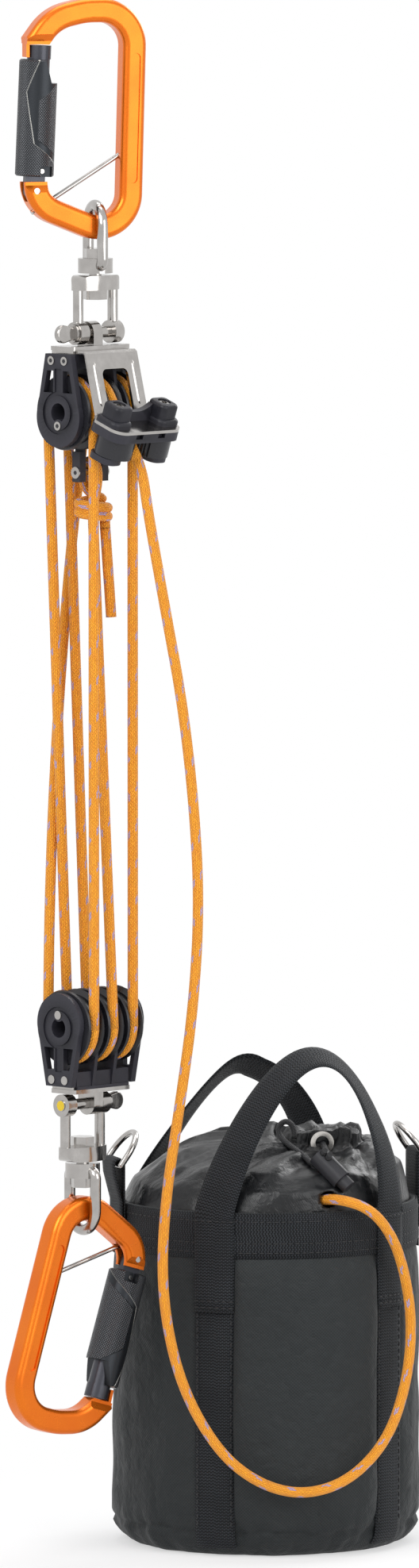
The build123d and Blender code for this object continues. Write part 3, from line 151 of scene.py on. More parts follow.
@dataclass(frozen=True)
class AnodisedAlloy(Finish):
    """Forged aluminium, tumbled and dyed while anodised: a tinted metal with a soft broad shine."""

    name: str
    hue: str
    dark: str
    roughness: float = 0.34
    metallic: float = 0.55
    cloud_mm: float = 22.0
    grain_mm: float = 0.35

    def shader(self, add: Callable) -> dict:
        """Shader inputs: a slightly cloudy dye over a fine tumbled grain."""
        place = add("TexCoord", out="Object")
        cloud = add("TexNoise", place, named={"Scale": 1 / (self.cloud_mm * MM), "Detail": 4.0})
        fine = add("TexNoise", place, named={"Scale": 1 / (self.grain_mm * MM)})
        share = add("MapRange", cloud, 0.15, 0.85, 0.0, 1.0)
        return {"Base Color": add("Mix", share, named={6: self.dark, 7: self.hue}, out=2, data_type="RGBA"),
                "Roughness": add("MapRange", cloud, 0.3, 0.7, self.roughness + 0.02, self.roughness - 0.02),
                "Normal": add("Bump", 0.35, 0.03 * MM, named={"Height": fine}),
                "Metallic": self.metallic, "Coat Weight": 0.1, "Coat Roughness": 0.2}


@dataclass(frozen=True)
class KnurledAlloy(Finish):
    """Grey anodised sleeve rolled with a diamond knurl, around a smooth slanting channel; the knurl has a painted
    highlight on its points and painted shade in its valleys, and the channel's lower lip a painted highlight.
    """

    name: str
    # The tip colour is a painted highlight on the knurl's points, and the valley colour painted shade between them.
    tip: str = "67696d"
    valley_shade: str = "18191c"
    smooth: str = "2d3034"
    # The rim colour is a painted highlight along the channel's lower lip, where its chamfer would catch the light.
    rim: str = "aaa9a4"
    diamonds: int = 46          # around the sleeve
    tall_mm: float = 1.35
    foot_mm: float = 6.9        # where the sleeve starts above the hinge axis
    radius_mm: float = 9.2
    cut_mm: float = 0.3         # what lies this far under the radius is channel too
    # The channel's sides: degrees round the sleeve per millimetre of height, and degrees at its foot.
    left_side: tuple = ((2.5, -155.0), (-1.23, -5.8), (-8.75, 111.5))
    right_side: tuple = ((8.25, -311.0), (-10.0, 161.0), (0.0, -12.0))
    back_deg: float = 105.0     # where the channel ends

    def shader(self, add: Callable, spot: Matrix) -> dict:
        """State the shader of one sleeve.

        Args:
            add: Adds a node to the material.
            spot: Frame of the gate, z along it and -y to its front.

        Returns:
            The shader's inputs.
        """
        local = add("Mapping", add("TexCoord", out="Object"), spot.to_translation(), spot.to_euler(),
                    vector_type="TEXTURE")
        x, y, z = add("SeparateXYZ", local, out=None).outputs
        angle = add("Math:ARCTAN2", x, add("Math:MULTIPLY", y, -1.0))
        height = add("Math:MULTIPLY_ADD", z, 1 / MM, -self.foot_mm)
        around = add("Math:MULTIPLY", angle, self.diamonds / math.tau)
        up = add("Math:MULTIPLY", height, 1 / self.tall_mm)
        ridges = []
        for way in ("ADD", "SUBTRACT"):
            across = add("Math:FRACT", add(f"Math:{way}", around, up))
            ridges.append(add("Math:ABSOLUTE", add("Math:SUBTRACT", across, 0.5)))
        # How high the knurl stands: it drives the bump, and the painted highlight and shade of the points and valleys.
        point = add("MapRange", add("Math:MAXIMUM", *ridges), 0.5, 0.08, 0.0, 1.0)
        left, right = (reduce(partial(add, "Math:MAXIMUM"),
                              [add("Math:MULTIPLY_ADD", height, math.radians(slope), math.radians(start))
                               for slope, start in lines]) for lines in (self.left_side, self.right_side))
        past_left = add("Math:SUBTRACT", angle, left)
        inside = add("Math:MINIMUM", past_left, add("Math:SUBTRACT", right, angle))
        behind = add("Math:LESS_THAN", angle, math.radians(self.back_deg))
        sunk = add("Math:MULTIPLY", add("MapRange", inside, -0.02, 0.05, 0.0, 1.0), behind)
        far = add("VectorMath:LENGTH", add("CombineXYZ", x, y), out="Value")
        cut = add("Math:LESS_THAN", far, (self.radius_mm - self.cut_mm) * MM)
        channel = add("Math:MAXIMUM", sunk, cut)
        # The lip is the channel's lower edge, which gets the painted highlight.
        lip = add("Math:MULTIPLY", add("Math:COMPARE", past_left, 0.0, 0.05), channel)
        # Colour: painted shade in the knurl's valleys, a painted highlight on its points, the channel's own smooth grey
        # and a painted highlight along the lip.
        colour = self.valley_shade
        for share, hue in ((point, self.tip), (channel, self.smooth), (lip, self.rim)):
            colour = add("Mix", share, named={6: colour, 7: hue}, out=2, data_type="RGBA")
        raised = add("Mix", channel, named={2: point, 3: -1.2})
        return {"Base Color": colour, "Roughness": 0.36, "Metallic": 0.7,
                "Normal": add("Bump", 0.9, 0.3 * MM, named={"Height": raised})}


@dataclass(frozen=True)
class PolishedMetal(Finish):
    """Stainless steel or plated nickel, forged or bent and then polished: bright, a little uneven, with faint marks."""

    name: str
    hue: str
    dull: str
    roughness: float = 0.2
    mark_mm: float = 1.1
    cloud_mm: float = 6.0
    swell_mm: float = 7.0

    def shader(self, add: Callable) -> dict:
        """Shader inputs: marks drawn out along the metal, over a slow swell of its face."""
        place = add("TexCoord", out="Object")
        along = add("Mapping", place, named={"Scale": (2.2, 2.2, 0.25)})
        marks, cloud, swell = (
            add("TexNoise", where, named={"Scale": 1 / (size * MM), "Detail": detail})
            for where, size, detail in ((along, self.mark_mm, 3.0), (place, self.cloud_mm, 3.0),
                                        (place, self.swell_mm, 0.0)))
        share = add("MapRange", cloud, 0.2, 0.8, 0.2, 1.0)
        uneven = add("Bump", 0.3, 1.2 * MM, named={"Height": swell})
        return {"Base Color": add("Mix", share, named={6: self.dull, 7: self.hue}, out=2, data_type="RGBA"),
                "Roughness": add("MapRange", marks, 0.3, 0.7, self.roughness - 0.03, self.roughness + 0.04),
                "Normal": add("Bump", 0.12, 0.02 * MM, named={"Height": marks, "Normal": uneven}),
                "Metallic": 1.0}


@dataclass(frozen=True)
class MouldedPlastic(Finish):
    """Glass-filled nylon or acetal, injection moulded: dark, with a fine spark-eroded grain, faint paler clouds and
    paler sharp edges.
    """

    name: str
    hue: str
    pale_tone: str
    roughness: float = 0.45
    grain_mm: float = 0.5
    grain_depth: float = 0.06
    gloss: float = 0.28
    cloud_mm: float = 12.0

    def shader(self, add: Callable) -> dict:
        """Shader inputs: grain, faint clouds and sharp edges made paler."""
        place = add("TexCoord", out="Object")
        fine = add("TexNoise", place, named={"Scale": 1 / (self.grain_mm * MM)})
        cloud = add("TexNoise", place, named={"Scale": 1 / (self.cloud_mm * MM), "Detail": 4.0})
        # Sharp convex edges, found by pointiness, are made paler.
        edge_share = add("MapRange", add("NewGeometry", out="Pointiness"), 0.53, 0.62, 0.0, 0.55)
        paler_share = add("Math:MAXIMUM", add("MapRange", cloud, 0.35, 0.7, 0.0, 0.4), edge_share)
        return {"Base Color": add("Mix", paler_share, named={6: self.hue, 7: self.pale_tone}, out=2, data_type="RGBA"),
                "Roughness": add("MapRange", cloud, 0.3, 0.7, self.roughness - 0.06, self.roughness + 0.08),
                "Normal": add("Bump", 0.5, self.grain_depth * MM, named={"Height": fine}),
                "IOR": 1.53, "Specular IOR Level": self.gloss}


@dataclass(frozen=True)
class BraidedPolyester(Finish):
    """Braided polyester sheath: plump leaning stitches in columns with painted shade in the gaps between them, and a
    helical tracer of another colour.
    """

    name: str
    hue: str
    # The deep colour is darker yarn that some stitches take at random, and also the painted shade in the gaps between
    # stitches.
    deep: str
    tracer: str = ""
    columns: int = 18
    stitch_mm: float = 1.75     # drawn a little coarse so that the braid shows
    tracer_pitch_mm: float = 18.0
    depth_mm: float = 0.45
    thread_mm: float = 0.35

    def shader(self, add: Callable) -> dict:
        """Shader inputs, drawn on the tube's map: u around it and v along it in centimetres."""
        around, along, _ = add("SeparateXYZ", add("UVMap", uv_map=MAP_NAME), out=None).outputs
        columns = add("Math:MULTIPLY", around, float(self.columns))
        column, across = (add(f"Math:{part}", columns) for part in ("FLOOR", "FRACT"))
        # The stitches of odd columns lean the other way and sit half a stitch further on.
        odd = add("Math:MODULO", column, 2.0)
        side = add("Math:MULTIPLY_ADD", odd, -1.2, 0.6)
        stitches = add("Math:MULTIPLY", along, MM_PER_CM / self.stitch_mm)
        leaned = add("Math:MULTIPLY_ADD", add("Math:SUBTRACT", across, 0.5), side, stitches)
        step = add("Math:MULTIPLY_ADD", odd, 0.5, leaned)
        row, within = (add(f"Math:{part}", step) for part in ("FLOOR", "FRACT"))
        humps = [add("Math:SINE", add("Math:MULTIPLY", share, math.pi)) for share in (across, within)]
        height = add("Math:POWER", add("Math:MAXIMUM", add("Math:MULTIPLY", *humps), 0.0), 0.6)
        chance = add("TexWhiteNoise", add("CombineXYZ", column, row), noise_dimensions="2D")
        faded = add("Math:MULTIPLY", chance, 0.4)
        yarn = add("Mix", faded, named={6: self.hue, 7: self.deep}, out=2, data_type="RGBA")
        if self.tracer:
            turn = add("Math:MULTIPLY_ADD", column, 1 / self.columns, 0.5 / self.columns)
            spiral = add("Math:MULTIPLY_ADD", row, self.stitch_mm / self.tracer_pitch_mm, turn)
            near = add("Math:COMPARE", add("Math:FRACT", spiral), 0.5, 0.085)
            quarter = add("Math:FRACT", add("Math:MULTIPLY", turn, 4.0))
            fleck = add("Math:MULTIPLY", near, add("Math:COMPARE", quarter, 0.5, 0.27))
            yarn = add("Mix", fleck, named={6: yarn, 7: self.tracer}, out=2, data_type="RGBA")
        # Painted shade: the gaps between the stitches are darkened towards the deep colour.
        gap = add("MapRange", height, 0.0, 0.75, 0.72, 0.0)
        threads = add("TexNoise", add("TexCoord", out="Object"), named={"Scale": 1 / (self.thread_mm * MM)})
        soft = add("Bump", 0.35, 0.08 * MM, named={"Height": threads})
        return {"Base Color": add("Mix", gap, named={6: yarn, 7: self.deep}, out=2, data_type="RGBA"),
                "Normal": add("Bump", 0.9, self.depth_mm * MM, named={"Height": height, "Normal": soft}),
                "Roughness": 0.62, "Sheen Weight": 0.12, "Sheen Roughness": 0.4, "IOR": 1.5}


@dataclass(frozen=True)
class RibbedWebbing(Finish):
    """Woven polyester webbing: fine ribs across its width, dull, with a slight sheen, and a painted highlight on the
    ribs' tops.
    """

    name: str
    hue: str
    # The light colour is a painted highlight on the tops of the ribs.
    light: str
    rib_mm: float = 1.45        # drawn a little coarse so that the ribs show
    warp_mm: float = 0.95
    cloud_mm: float = 14.0

    def shader(self, add: Callable) -> dict:
        """Shader inputs, drawn on the strap's map in centimetres: u across it and v along it."""
        u, v, _ = add("SeparateXYZ", add("UVMap", uv_map=MAP_NAME), out=None).outputs
        across = add("Math:MULTIPLY", u, MM_PER_CM / self.warp_mm)
        along = add("Math:MULTIPLY", v, MM_PER_CM / self.rib_mm)
        odd = add("Math:MODULO", add("Math:FLOOR", across), 2.0)
        shifted = add("Math:MULTIPLY_ADD", odd, 0.3, along)
        rib, warp = (add("Math:ABSOLUTE", add("Math:SINE", add("Math:MULTIPLY", share, math.pi)))
                     for share in (shifted, across))
        height = add("Math:MULTIPLY", rib, add("Math:MULTIPLY_ADD", warp, 0.45, 0.55))
        # Painted highlight: the tops of the ribs are lightened towards the light colour.
        share = add("MapRange", height, 0.2, 0.95, 0.0, 1.0)
        weave = add("Mix", share, named={6: self.hue, 7: self.light}, out=2, data_type="RGBA")
        place = add("TexCoord", out="Object")
        cloud = add("TexNoise", place, named={"Scale": 1 / (self.cloud_mm * MM), "Detail": 3.0})
        dull = add("MapRange", cloud, 0.4, 0.75, 0.0, 0.3)
        return {"Base Color": add("Mix", dull, named={6: weave, 7: self.hue}, out=2, data_type="RGBA"),
                "Normal": add("Bump", 0.9, 0.4 * MM, named={"Height": height}),
                "Roughness": 0.6, "Sheen Weight": 0.04, "Sheen Roughness": 0.45, "Specular IOR Level": 0.15}


@dataclass(frozen=True)
class CoatedCloth(Finish):
    """Coated nylon cloth: a close plain weave under a thin film, dull on the bag, crinkled and shiny on its collar."""

    name: str
    hue: str
    light: str
    roughness: float = 0.6
    thread_mm: float = 0.75     # drawn coarse so that the weave shows
    crinkle_mm: float = 9.0
    crinkle_depth: float = 0.5
    weave_depth: float = 0.16
    gloss: float = 0.2
    dust_mm: float = 30.0

    def shader(self, add: Callable) -> dict:
        """Shader inputs, drawn on the cloth's map in centimetres."""
        lay = add("SeparateXYZ", add("UVMap", uv_map=MAP_NAME), out=None).outputs
        turns = MM_PER_CM * math.pi / self.thread_mm
        threads = [add("Math:SINE", add("Math:MULTIPLY", way, turns)) for way in lay[:2]]
        weave = add("Math:MULTIPLY_ADD", add("Math:MULTIPLY", *threads), 0.5, 0.5)
        place = add("TexCoord", out="Object")
        crinkle = add("TexNoise", place, named={"Scale": 1 / (self.crinkle_mm * MM), "Detail": 5.0})
        fold = add("Math:ABSOLUTE", add("Math:SUBTRACT", crinkle, 0.5))
        sharp = add("MapRange", fold, 0.0, 0.18, 0.0, 1.0)
        dust = add("TexNoise", place, named={"Scale": 1 / (self.dust_mm * MM), "Detail": 6.0})
        share = add("Math:MAXIMUM", weave, add("MapRange", dust, 0.45, 0.8, 0.0, 0.35))
        under = add("Bump", 0.8, self.crinkle_depth * MM, named={"Height": sharp})
        return {"Base Color": add("Mix", share, named={6: self.hue, 7: self.light}, out=2, data_type="RGBA"),
                "Roughness": add("MapRange", crinkle, 0.3, 0.7, self.roughness + 0.08, self.roughness - 0.1),
                "Normal": add("Bump", 0.7, self.weave_depth * MM, named={"Height": weave, "Normal": under}),
                "Sheen Weight": 0.04, "Sheen Roughness": 0.5, "Specular IOR Level": self.gloss}


class Slot(str, Enum):
    """The record's material slots."""

    ORANGE_ANODISED = "orange_anodised"
    DARK_ANODISED = "dark_anodised"
    GATE_ALLOY = "gate_alloy"
    STAINLESS = "stainless"
    DARK_NYLON = "dark_nylon"
    BLACK_ACETAL = "black_acetal"
    ORANGE_ROPE = "orange_rope"
    BAG_CLOTH = "bag_cloth"
    COLLAR_CLOTH = "collar_cloth"
    WEBBING = "webbing"
    BLACK_CORD = "black_cord"
    LOCK_PLASTIC = "lock_plastic"
    NICKEL = "nickel"


FINISHES = {
    Slot.ORANGE_ANODISED: AnodisedAlloy("orange anodised alloy", "e8780f", "dc660b", 0.27, 0.72),
    Slot.DARK_ANODISED: AnodisedAlloy("charcoal anodised alloy", "3c3c40", "2e2e32", 0.42, 0.5),
    Slot.GATE_ALLOY: AnodisedAlloy("grey anodised gate", "47484f", "393a40", 0.32, 0.7),
    Slot.STAINLESS: PolishedMetal("polished stainless", "b8b5b2", "9f9c99", 0.15),
    Slot.DARK_NYLON: MouldedPlastic("glass filled nylon", "1b1b21", "3b3a42"),
    Slot.BLACK_ACETAL: MouldedPlastic("black acetal", "0f0f12", "2c2c31", 0.28, 0.8, 0.02, 0.4),
    Slot.ORANGE_ROPE: BraidedPolyester("orange braid", "ffae22", "de7a0c", "b3a9cf"),
    Slot.BAG_CLOTH: CoatedCloth("charcoal pack cloth", "1e2122", "2e3132"),
    Slot.COLLAR_CLOTH: CoatedCloth("crinkled collar nylon", "090a0c", "141619", 0.34, 0.6, 14.0, 0.5, 0.06, 0.38),
    Slot.WEBBING: RibbedWebbing("black ribbed webbing", "08090a", "33363a"),
    Slot.BLACK_CORD: BraidedPolyester("black braided cord", "2a2b2e", "0d0d0f", "", 12, 1.6, 18.0, 0.3),
    Slot.LOCK_PLASTIC: MouldedPlastic("moulded lock plastic", "1b1b1d", "3a3a3e", 0.36, 0.7, 0.03),
    Slot.NICKEL: PolishedMetal("plated nickel", "dedad5", "a3a09b", 0.16),
}
PIN_PAINT = MouldedPlastic("yellow paint", "d9b50f", "e6c93a", 0.4, 0.8, 0.05, 0.4)


def gate_frames(frame: dict) -> dict[str, Matrix]:
    """Frame of each carabiner's gate at its hinge: z along the gate and -y to its front."""
    joints = {joint["name"]: joint for joint in frame["joints"]}
    spots = {}
    for name in ("anchor", "load"):
        hinge = joints[f"{name}_gate_hinge"]
        across = Vector(hinge["axis"]).normalized()
        along = Vector(joints[f"{name}_sleeve_twist"]["axis"]).normalized()
        turn = Matrix((across.cross(along), across, along)).transposed().to_4x4()
        spots[name] = Matrix.Translation(hinge["pos_m"]) @ turn
    return spots


class Wardrobe:
    """Every finish, made once and handed to the pieces."""

    def __init__(self) -> None:
        """Make the materials."""
        self.materials = {slot: finish.build() for slot, finish in FINISHES.items()}

    def of(self, slot: Slot) -> Material:
        """The material of a slot."""
        return self.materials[slot]

    def dress_frame(self, frame: dict) -> None:
        for row in frame["record"]["subparts"]:
            node = frame["nodes"][row["node"]]
            node.data.materials.clear()
            node.data.materials.append(self.of(Slot(row["material_slot"])))
        for name, spot in gate_frames(frame).items():
            frame["nodes"][f"{name}_sleeve"].data.materials[0] = KnurledAlloy(f"{name} knurled alloy").build(spot)


def mesh_object(name: str, verts: Sequence, faces: Sequence, material: Material) -> Piece:
    """Make a smooth mesh object at the origin from points in metres and index tuples, and link it."""
    mesh = bpy.data.meshes.new(name)
    mesh.from_pydata([tuple(v) for v in verts], [], [tuple(f) for f in faces])
    mesh.materials.append(material)
    mesh.polygons.foreach_set("use_smooth", [True] * len(mesh.polygons))
    mesh.update()
    piece = bpy.data.objects.new(name, mesh)
    bpy.context.scene.collection.objects.link(piece)
    return piece


def joined(name: str, pieces: Sequence[Piece]) -> Piece:
    """Join mesh objects into one piece; the first takes the rest and gets the name."""
    bpy.ops.object.select_all(action="DESELECT")
    for piece in pieces:
        piece.select_set(True)
    result = bpy.context.view_layer.objects.active = pieces[0]
    bpy.ops.object.join()
    result.name = result.data.name = name
    return result


def settled(piece: Piece) -> Piece:
    """Turn a piece with its modifiers into a plain smooth mesh."""
    bpy.context.view_layer.update()
    mesh = bpy.data.meshes.new_from_object(piece.evaluated_get(bpy.context.evaluated_depsgraph_get()))
    piece.modifiers.clear()
    piece.data = mesh
    mesh.name = piece.name
    mesh.polygons.foreach_set("use_smooth", [True] * len(mesh.polygons))
    return piece


def spline_points(route: Sequence[Point], resolution: int) -> list[Vector]:
    """Read points from the smooth spline of a route.

    Args:
        route: Control points in metres.
        resolution: Samples between two control points.

    Returns:
        Points along the spline, in order.
    """
    curve = bpy.data.curves.new("route", "CURVE")
    curve.dimensions = "3D"
    spline = curve.splines.new("NURBS")
    spline.points.add(len(route) - 1)
    for spot, place in zip(spline.points, route):
        spot.co = (*place, 1.0)
    spline.order_u = 3
    spline.use_endpoint_u = True
    spline.resolution_u = resolution
    holder = bpy.data.objects.new("route", curve)
    bpy.context.scene.collection.objects.link(holder)
    bpy.context.view_layer.update()
    mesh = bpy.data.meshes.new_from_object(holder.evaluated_get(bpy.context.evaluated_depsgraph_get()))
    points = [v.co.copy() for v in mesh.vertices]
    bpy.data.meshes.remove(mesh)
    bpy.data.objects.remove(holder)
    bpy.data.curves.remove(curve)
    return points


def steady_frames(points: Line) -> list[tuple[Vector, Vector]]:
    """Side and normal at each point of a line, turning as little as they can."""
    last = len(points) - 1
    tangents = [(points[min(i + 1, last)] - points[max(i - 1, 0)]).normalized() for i in range(last + 1)]
    guess = Vector((0, -1, 0)) if abs(tangents[0].y) < 0.9 else Vector((1, 0, 0))
    normal = (guess - tangents[0] * guess.dot(tangents[0])).normalized()
    frames = []
    for index, tangent in enumerate(tangents):
        if index:
            normal = tangents[index - 1].rotation_difference(tangent) @ normal
            normal = (normal - tangent * normal.dot(tangent)).normalized()
        frames.append((tangent.cross(normal), normal))
    return frames


def grid_piece(name: str, rows: Sequence[Line], lay: Sequence[Sequence[tuple[float, float]]], material: Material,
               closed: bool = True, capped: bool = False) -> Piece:
    """Sheet of quads through rows of points, with its own map.

    Args:
        name: Piece name.
        rows: Points row by row; a closed row doesn't repeat its first point.
        lay: Map places in centimetres; a closed row has one more place than points.
        material: Finish.
        closed: Whether each row closes on itself.
        capped: Whether the first and last rows are filled with a flat face.

    Returns:
        The sheet object.
    """
    wide = len(rows[0])
    faces, places = [], []
    for r in range(len(rows) - 1):
        for c in range(wide if closed else wide - 1):
            after = (c + 1) % wide
            faces.append((r * wide + c, r * wide + after, (r + 1) * wide + after, (r + 1) * wide + c))
            places.append((lay[r][c], lay[r][c + 1], lay[r + 1][c + 1], lay[r + 1][c]))
    if capped:
        last = (len(rows) - 1) * wide
        faces += [tuple(reversed(range(wide))), tuple(range(last, last + wide))]
    piece = mesh_object(name, [p for row in rows for p in row], faces, material)
    layer = piece.data.uv_layers.new(name=MAP_NAME)
    for polygon, corners in zip(piece.data.polygons, places):
        for loop, corner in zip(polygon.loop_indices, corners):
            layer.data[loop].uv = corner
    for cap in list(piece.data.polygons)[len(places):]:
        cap.use_smooth = False
    return piece


def rope_tube(name: str, points: Line, radius: float, material: Material, sides: int = 20,
              start_cm: float = 0.0) -> Piece:
    """Tube along points, with a map that runs around and along it.

    Args:
        name: Piece name.
        points: Centreline in metres.
        radius: Tube radius in metres.
        material: Finish.
        sides: Faces around.
        start_cm: Where the map starts along the rope.

    Returns:
        The tube object.
    """
    angles = [math.tau * step / sides for step in range(sides)]
    rows, lay = [], []
    run = start_cm
    for index, (point, (side, normal)) in enumerate(zip(points, steady_frames(points))):
        run += (point - points[index - 1]).length * CM_PER_M if index else 0.0
        rows.append([point + (side * math.cos(angle) + normal * math.sin(angle)) * radius for angle in angles])
        lay.append([(step / sides, run) for step in range(sides + 1)])
    return grid_piece(name, rows, lay, material, capped=True)


@dataclass(frozen=True)
class RibbonSpot:
    """One place along a strap: its middle, the way across it and the way out of its face."""

    middle: Vector
    across: Vector
    out: Vector
    bow: float = 0.0


def ribbon(name: str, spots: Sequence[RibbonSpot], width: float, thickness: float, material: Material,
           ring: bool = False) -> Piece:
    """Strap of webbing along a line of spots.

    Args:
        name: Piece name.
        spots: Places along the strap.
        width: Strap width in metres.
        thickness: Strap thickness in metres.
        material: Finish.
        ring: Whether the strap closes into a ring.

    Returns:
        The strap object.
    """
    half, deep, thin_edge = width / 2, thickness / 2, 0.35
    top = [(half * s, deep if abs(s) < 1 else deep * thin_edge) for s in (k / 3 - 1 for k in range(7))]
    section = top + [(x, -y) for x, y in reversed(top)]
    rows, lay = [], []
    run = 0.0
    line = list(spots) + ([spots[0]] if ring else [])
    for index, spot in enumerate(line):
        run += (spot.middle - line[index - 1].middle).length * CM_PER_M if index else 0.0
        rows.append([spot.middle + spot.across * x + spot.out * (y - spot.bow * x * x) for x, y in section])
        lay.append([(x * CM_PER_M, run) for x, _ in section + section[:1]])
    return grid_piece(name, rows, lay, material, capped=not ring)


@dataclass
class Studio:
    """Pale floor, soft lamps and the camera at the photograph's angle."""

    floor_z: float = -0.735
    floor_half: float = 6.0
    shadow_middle: tuple[float, float] = (0.06, 0.03)
    target: Point = (0.0562, 0.0, -0.3629)
    distance: float = 8.0
    elevation_deg: float = 5.0
    lens_mm: float = 385.5
    lamps: tuple = (("key", (-0.9, -1.5, 0.9), 1.3, 26.0), ("fill", (1.4, -1.3, 0.2), 1.4, 15.0),
                    ("top", (0.1, 0.3, 1.3), 1.2, 13.0), ("rim", (0.9, 1.2, 0.5), 0.8, 9.0))  # place, side, watts

    def build(self) -> None:
        """Set up the whole stage."""
        scene = bpy.context.scene
        scene.view_settings.view_transform = "Standard"
        data = bpy.data.cameras.new("studio_camera")
        data.type = "PERSP"
        data.lens = self.lens_mm
        data.sensor_width = 36.0
        data.clip_end = 50.0
        tilt = math.radians(self.elevation_deg)
        back = Vector((0.0, -math.cos(tilt), math.sin(tilt))) * self.distance
        scene.camera = self.aimed(data, Vector(self.target) + back)
        scene.world = self.world()
        self.floor()
        for name, place, side, watts in self.lamps:
            lamp = bpy.data.lights.new(name, "AREA")
            lamp.size, lamp.energy = side, watts
            self.aimed(lamp, Vector(place))

    def aimed(self, data: bpy.types.ID, place: Vector) -> bpy.types.Object:
        """Put a camera or a lamp at a place, looking at the middle of the object."""
        thing = bpy.data.objects.new(data.name, data)
        thing.location = place
        thing.rotation_euler = (Vector(self.target) - place).to_track_quat("-Z", "Y").to_euler()
        bpy.context.scene.collection.objects.link(thing)
        return thing

    def white_where_seen(self, add: Callable, kind: str) -> tuple[Socket, Socket]:
        """White for the camera, for reflections and for what shows through.

        Args:
            add: Adds a node to the tree.
            kind: Type of the shader that is white.

        Returns:
            The share that is seen as white, and the white shader.
        """
        path = add("LightPath", out=None).outputs
        rays = [path[f"Is {ray} Ray"] for ray in ("Camera", "Glossy", "Transmission")]
        return reduce(partial(add, "Math:MAXIMUM"), rays), add(kind, (1, 1, 1, 1), 1.0)

    def world(self) -> bpy.types.World:
        """Even studio light that shows as white."""
        world = bpy.data.worlds.new("studio")
        world.use_nodes = True
        world.node_tree.nodes.clear()
        add = partial(add_node, world.node_tree)
        seen, white = self.white_where_seen(add, "Background")
        add("OutputWorld", add("MixShader", seen, add("Background", "f4f6fa", 0.42), white), out=None)
        return world

    def floor(self) -> None:
        """Lay a pale floor that is white a hand's breadth away, so that only the object's soft shadow shows."""
        material, add = new_material("pale studio floor")
        surface = add("BsdfPrincipled", named={"Base Color": "fbfbfb", "Roughness": 0.9})
        centred = add("VectorMath:SUBTRACT", add("TexCoord", out="Object"), (*self.shadow_middle, self.floor_z))
        reach = add("VectorMath:LENGTH", centred, out="Value")
        fade = add("MapRange", reach, 0.10, 0.32, 0.55, 1.0, interpolation_type="SMOOTHSTEP")
        seen, white = self.white_where_seen(add, "Emission")
        add("OutputMaterial", add("MixShader", add("Math:MULTIPLY", seen, fade), surface, white), out=None)
        corners = [(x * self.floor_half, y * self.floor_half, self.floor_z)
                   for x, y in ((-1, -1), (1, -1), (1, 1), (-1, 1))]
        mesh_object("studio_floor", corners, [(0, 1, 2, 3)], material)


# Centreline of the tail in metres: the points of its CAD route, from the cleat into the bag.
TAIL_ROUTE: list[Point] = [
    (0.0219, -0.0241, -0.2061), (0.0245, -0.0267, -0.2120), (0.0270, -0.0280, -0.2310), (0.0355, -0.0265, -0.2790),
    (0.0435, -0.0245, -0.3230), (0.0490, -0.0225, -0.3720), (0.0514, -0.0210, -0.4200), (0.0484, -0.0190, -0.4700),
    (0.0416, -0.0180, -0.5180), (0.0352, -0.0175, -0.5600), (0.0332, -0.0170, -0.6000), (0.0386, -0.0165, -0.6360),
    (0.0498, -0.0160, -0.6650), (0.0680, -0.0155, -0.6900), (0.0940, -0.0130, -0.7030), (0.1200, -0.0070, -0.6990),
    (0.1410, 0.0060, -0.6800), (0.1510, 0.0180, -0.6520), (0.1534, 0.0240, -0.6220), (0.1485, 0.0195, -0.5940),
    (0.1415, 0.0095, -0.5770), (0.1320, 0.0040, -0.5665), (0.1185, 0.0060, -0.5625), (0.1080, 0.0165, -0.5640),
    (0.1025, 0.0290, -0.5715), (0.1030, 0.0405, -0.5850), (0.1100, 0.0470, -0.6060), (0.1220, 0.0470, -0.6300),
    (0.1335, 0.0420, -0.6550), (0.1390, 0.0390, -0.6790), (0.1415, 0.0420, -0.7000), (0.1439, 0.0530, -0.7116),
    (0.1439, 0.0680, -0.7116)]
TAIL_SAMPLES = 22
UPPER_AXLE: Point = (-0.0005015, -0.0017566, -0.1847)
LOWER_AXLE: Point = (-0.0005015, -0.0017566, -0.4781)
BLOCK_TURN_DEG = -45.0
BAG_MIDDLE: Point = (0.0834, 0.073, -0.735)


def block_frame(axle: Point, flipped: bool = False) -> Matrix:
    """Frame of a block: x across its rope, y along its axle, z to its head."""
    frame = Matrix.Translation(axle) @ Matrix.Rotation(math.radians(BLOCK_TURN_DEG), 4, "Z")
    return frame @ Matrix.Rotation(math.pi, 4, "X") if flipped else frame


def moved(frame: Matrix, route: Sequence[Point]) -> list[Point]:
    """A route's points, taken out of a frame."""
    return [tuple(frame @ Vector(spot)) for spot in route]


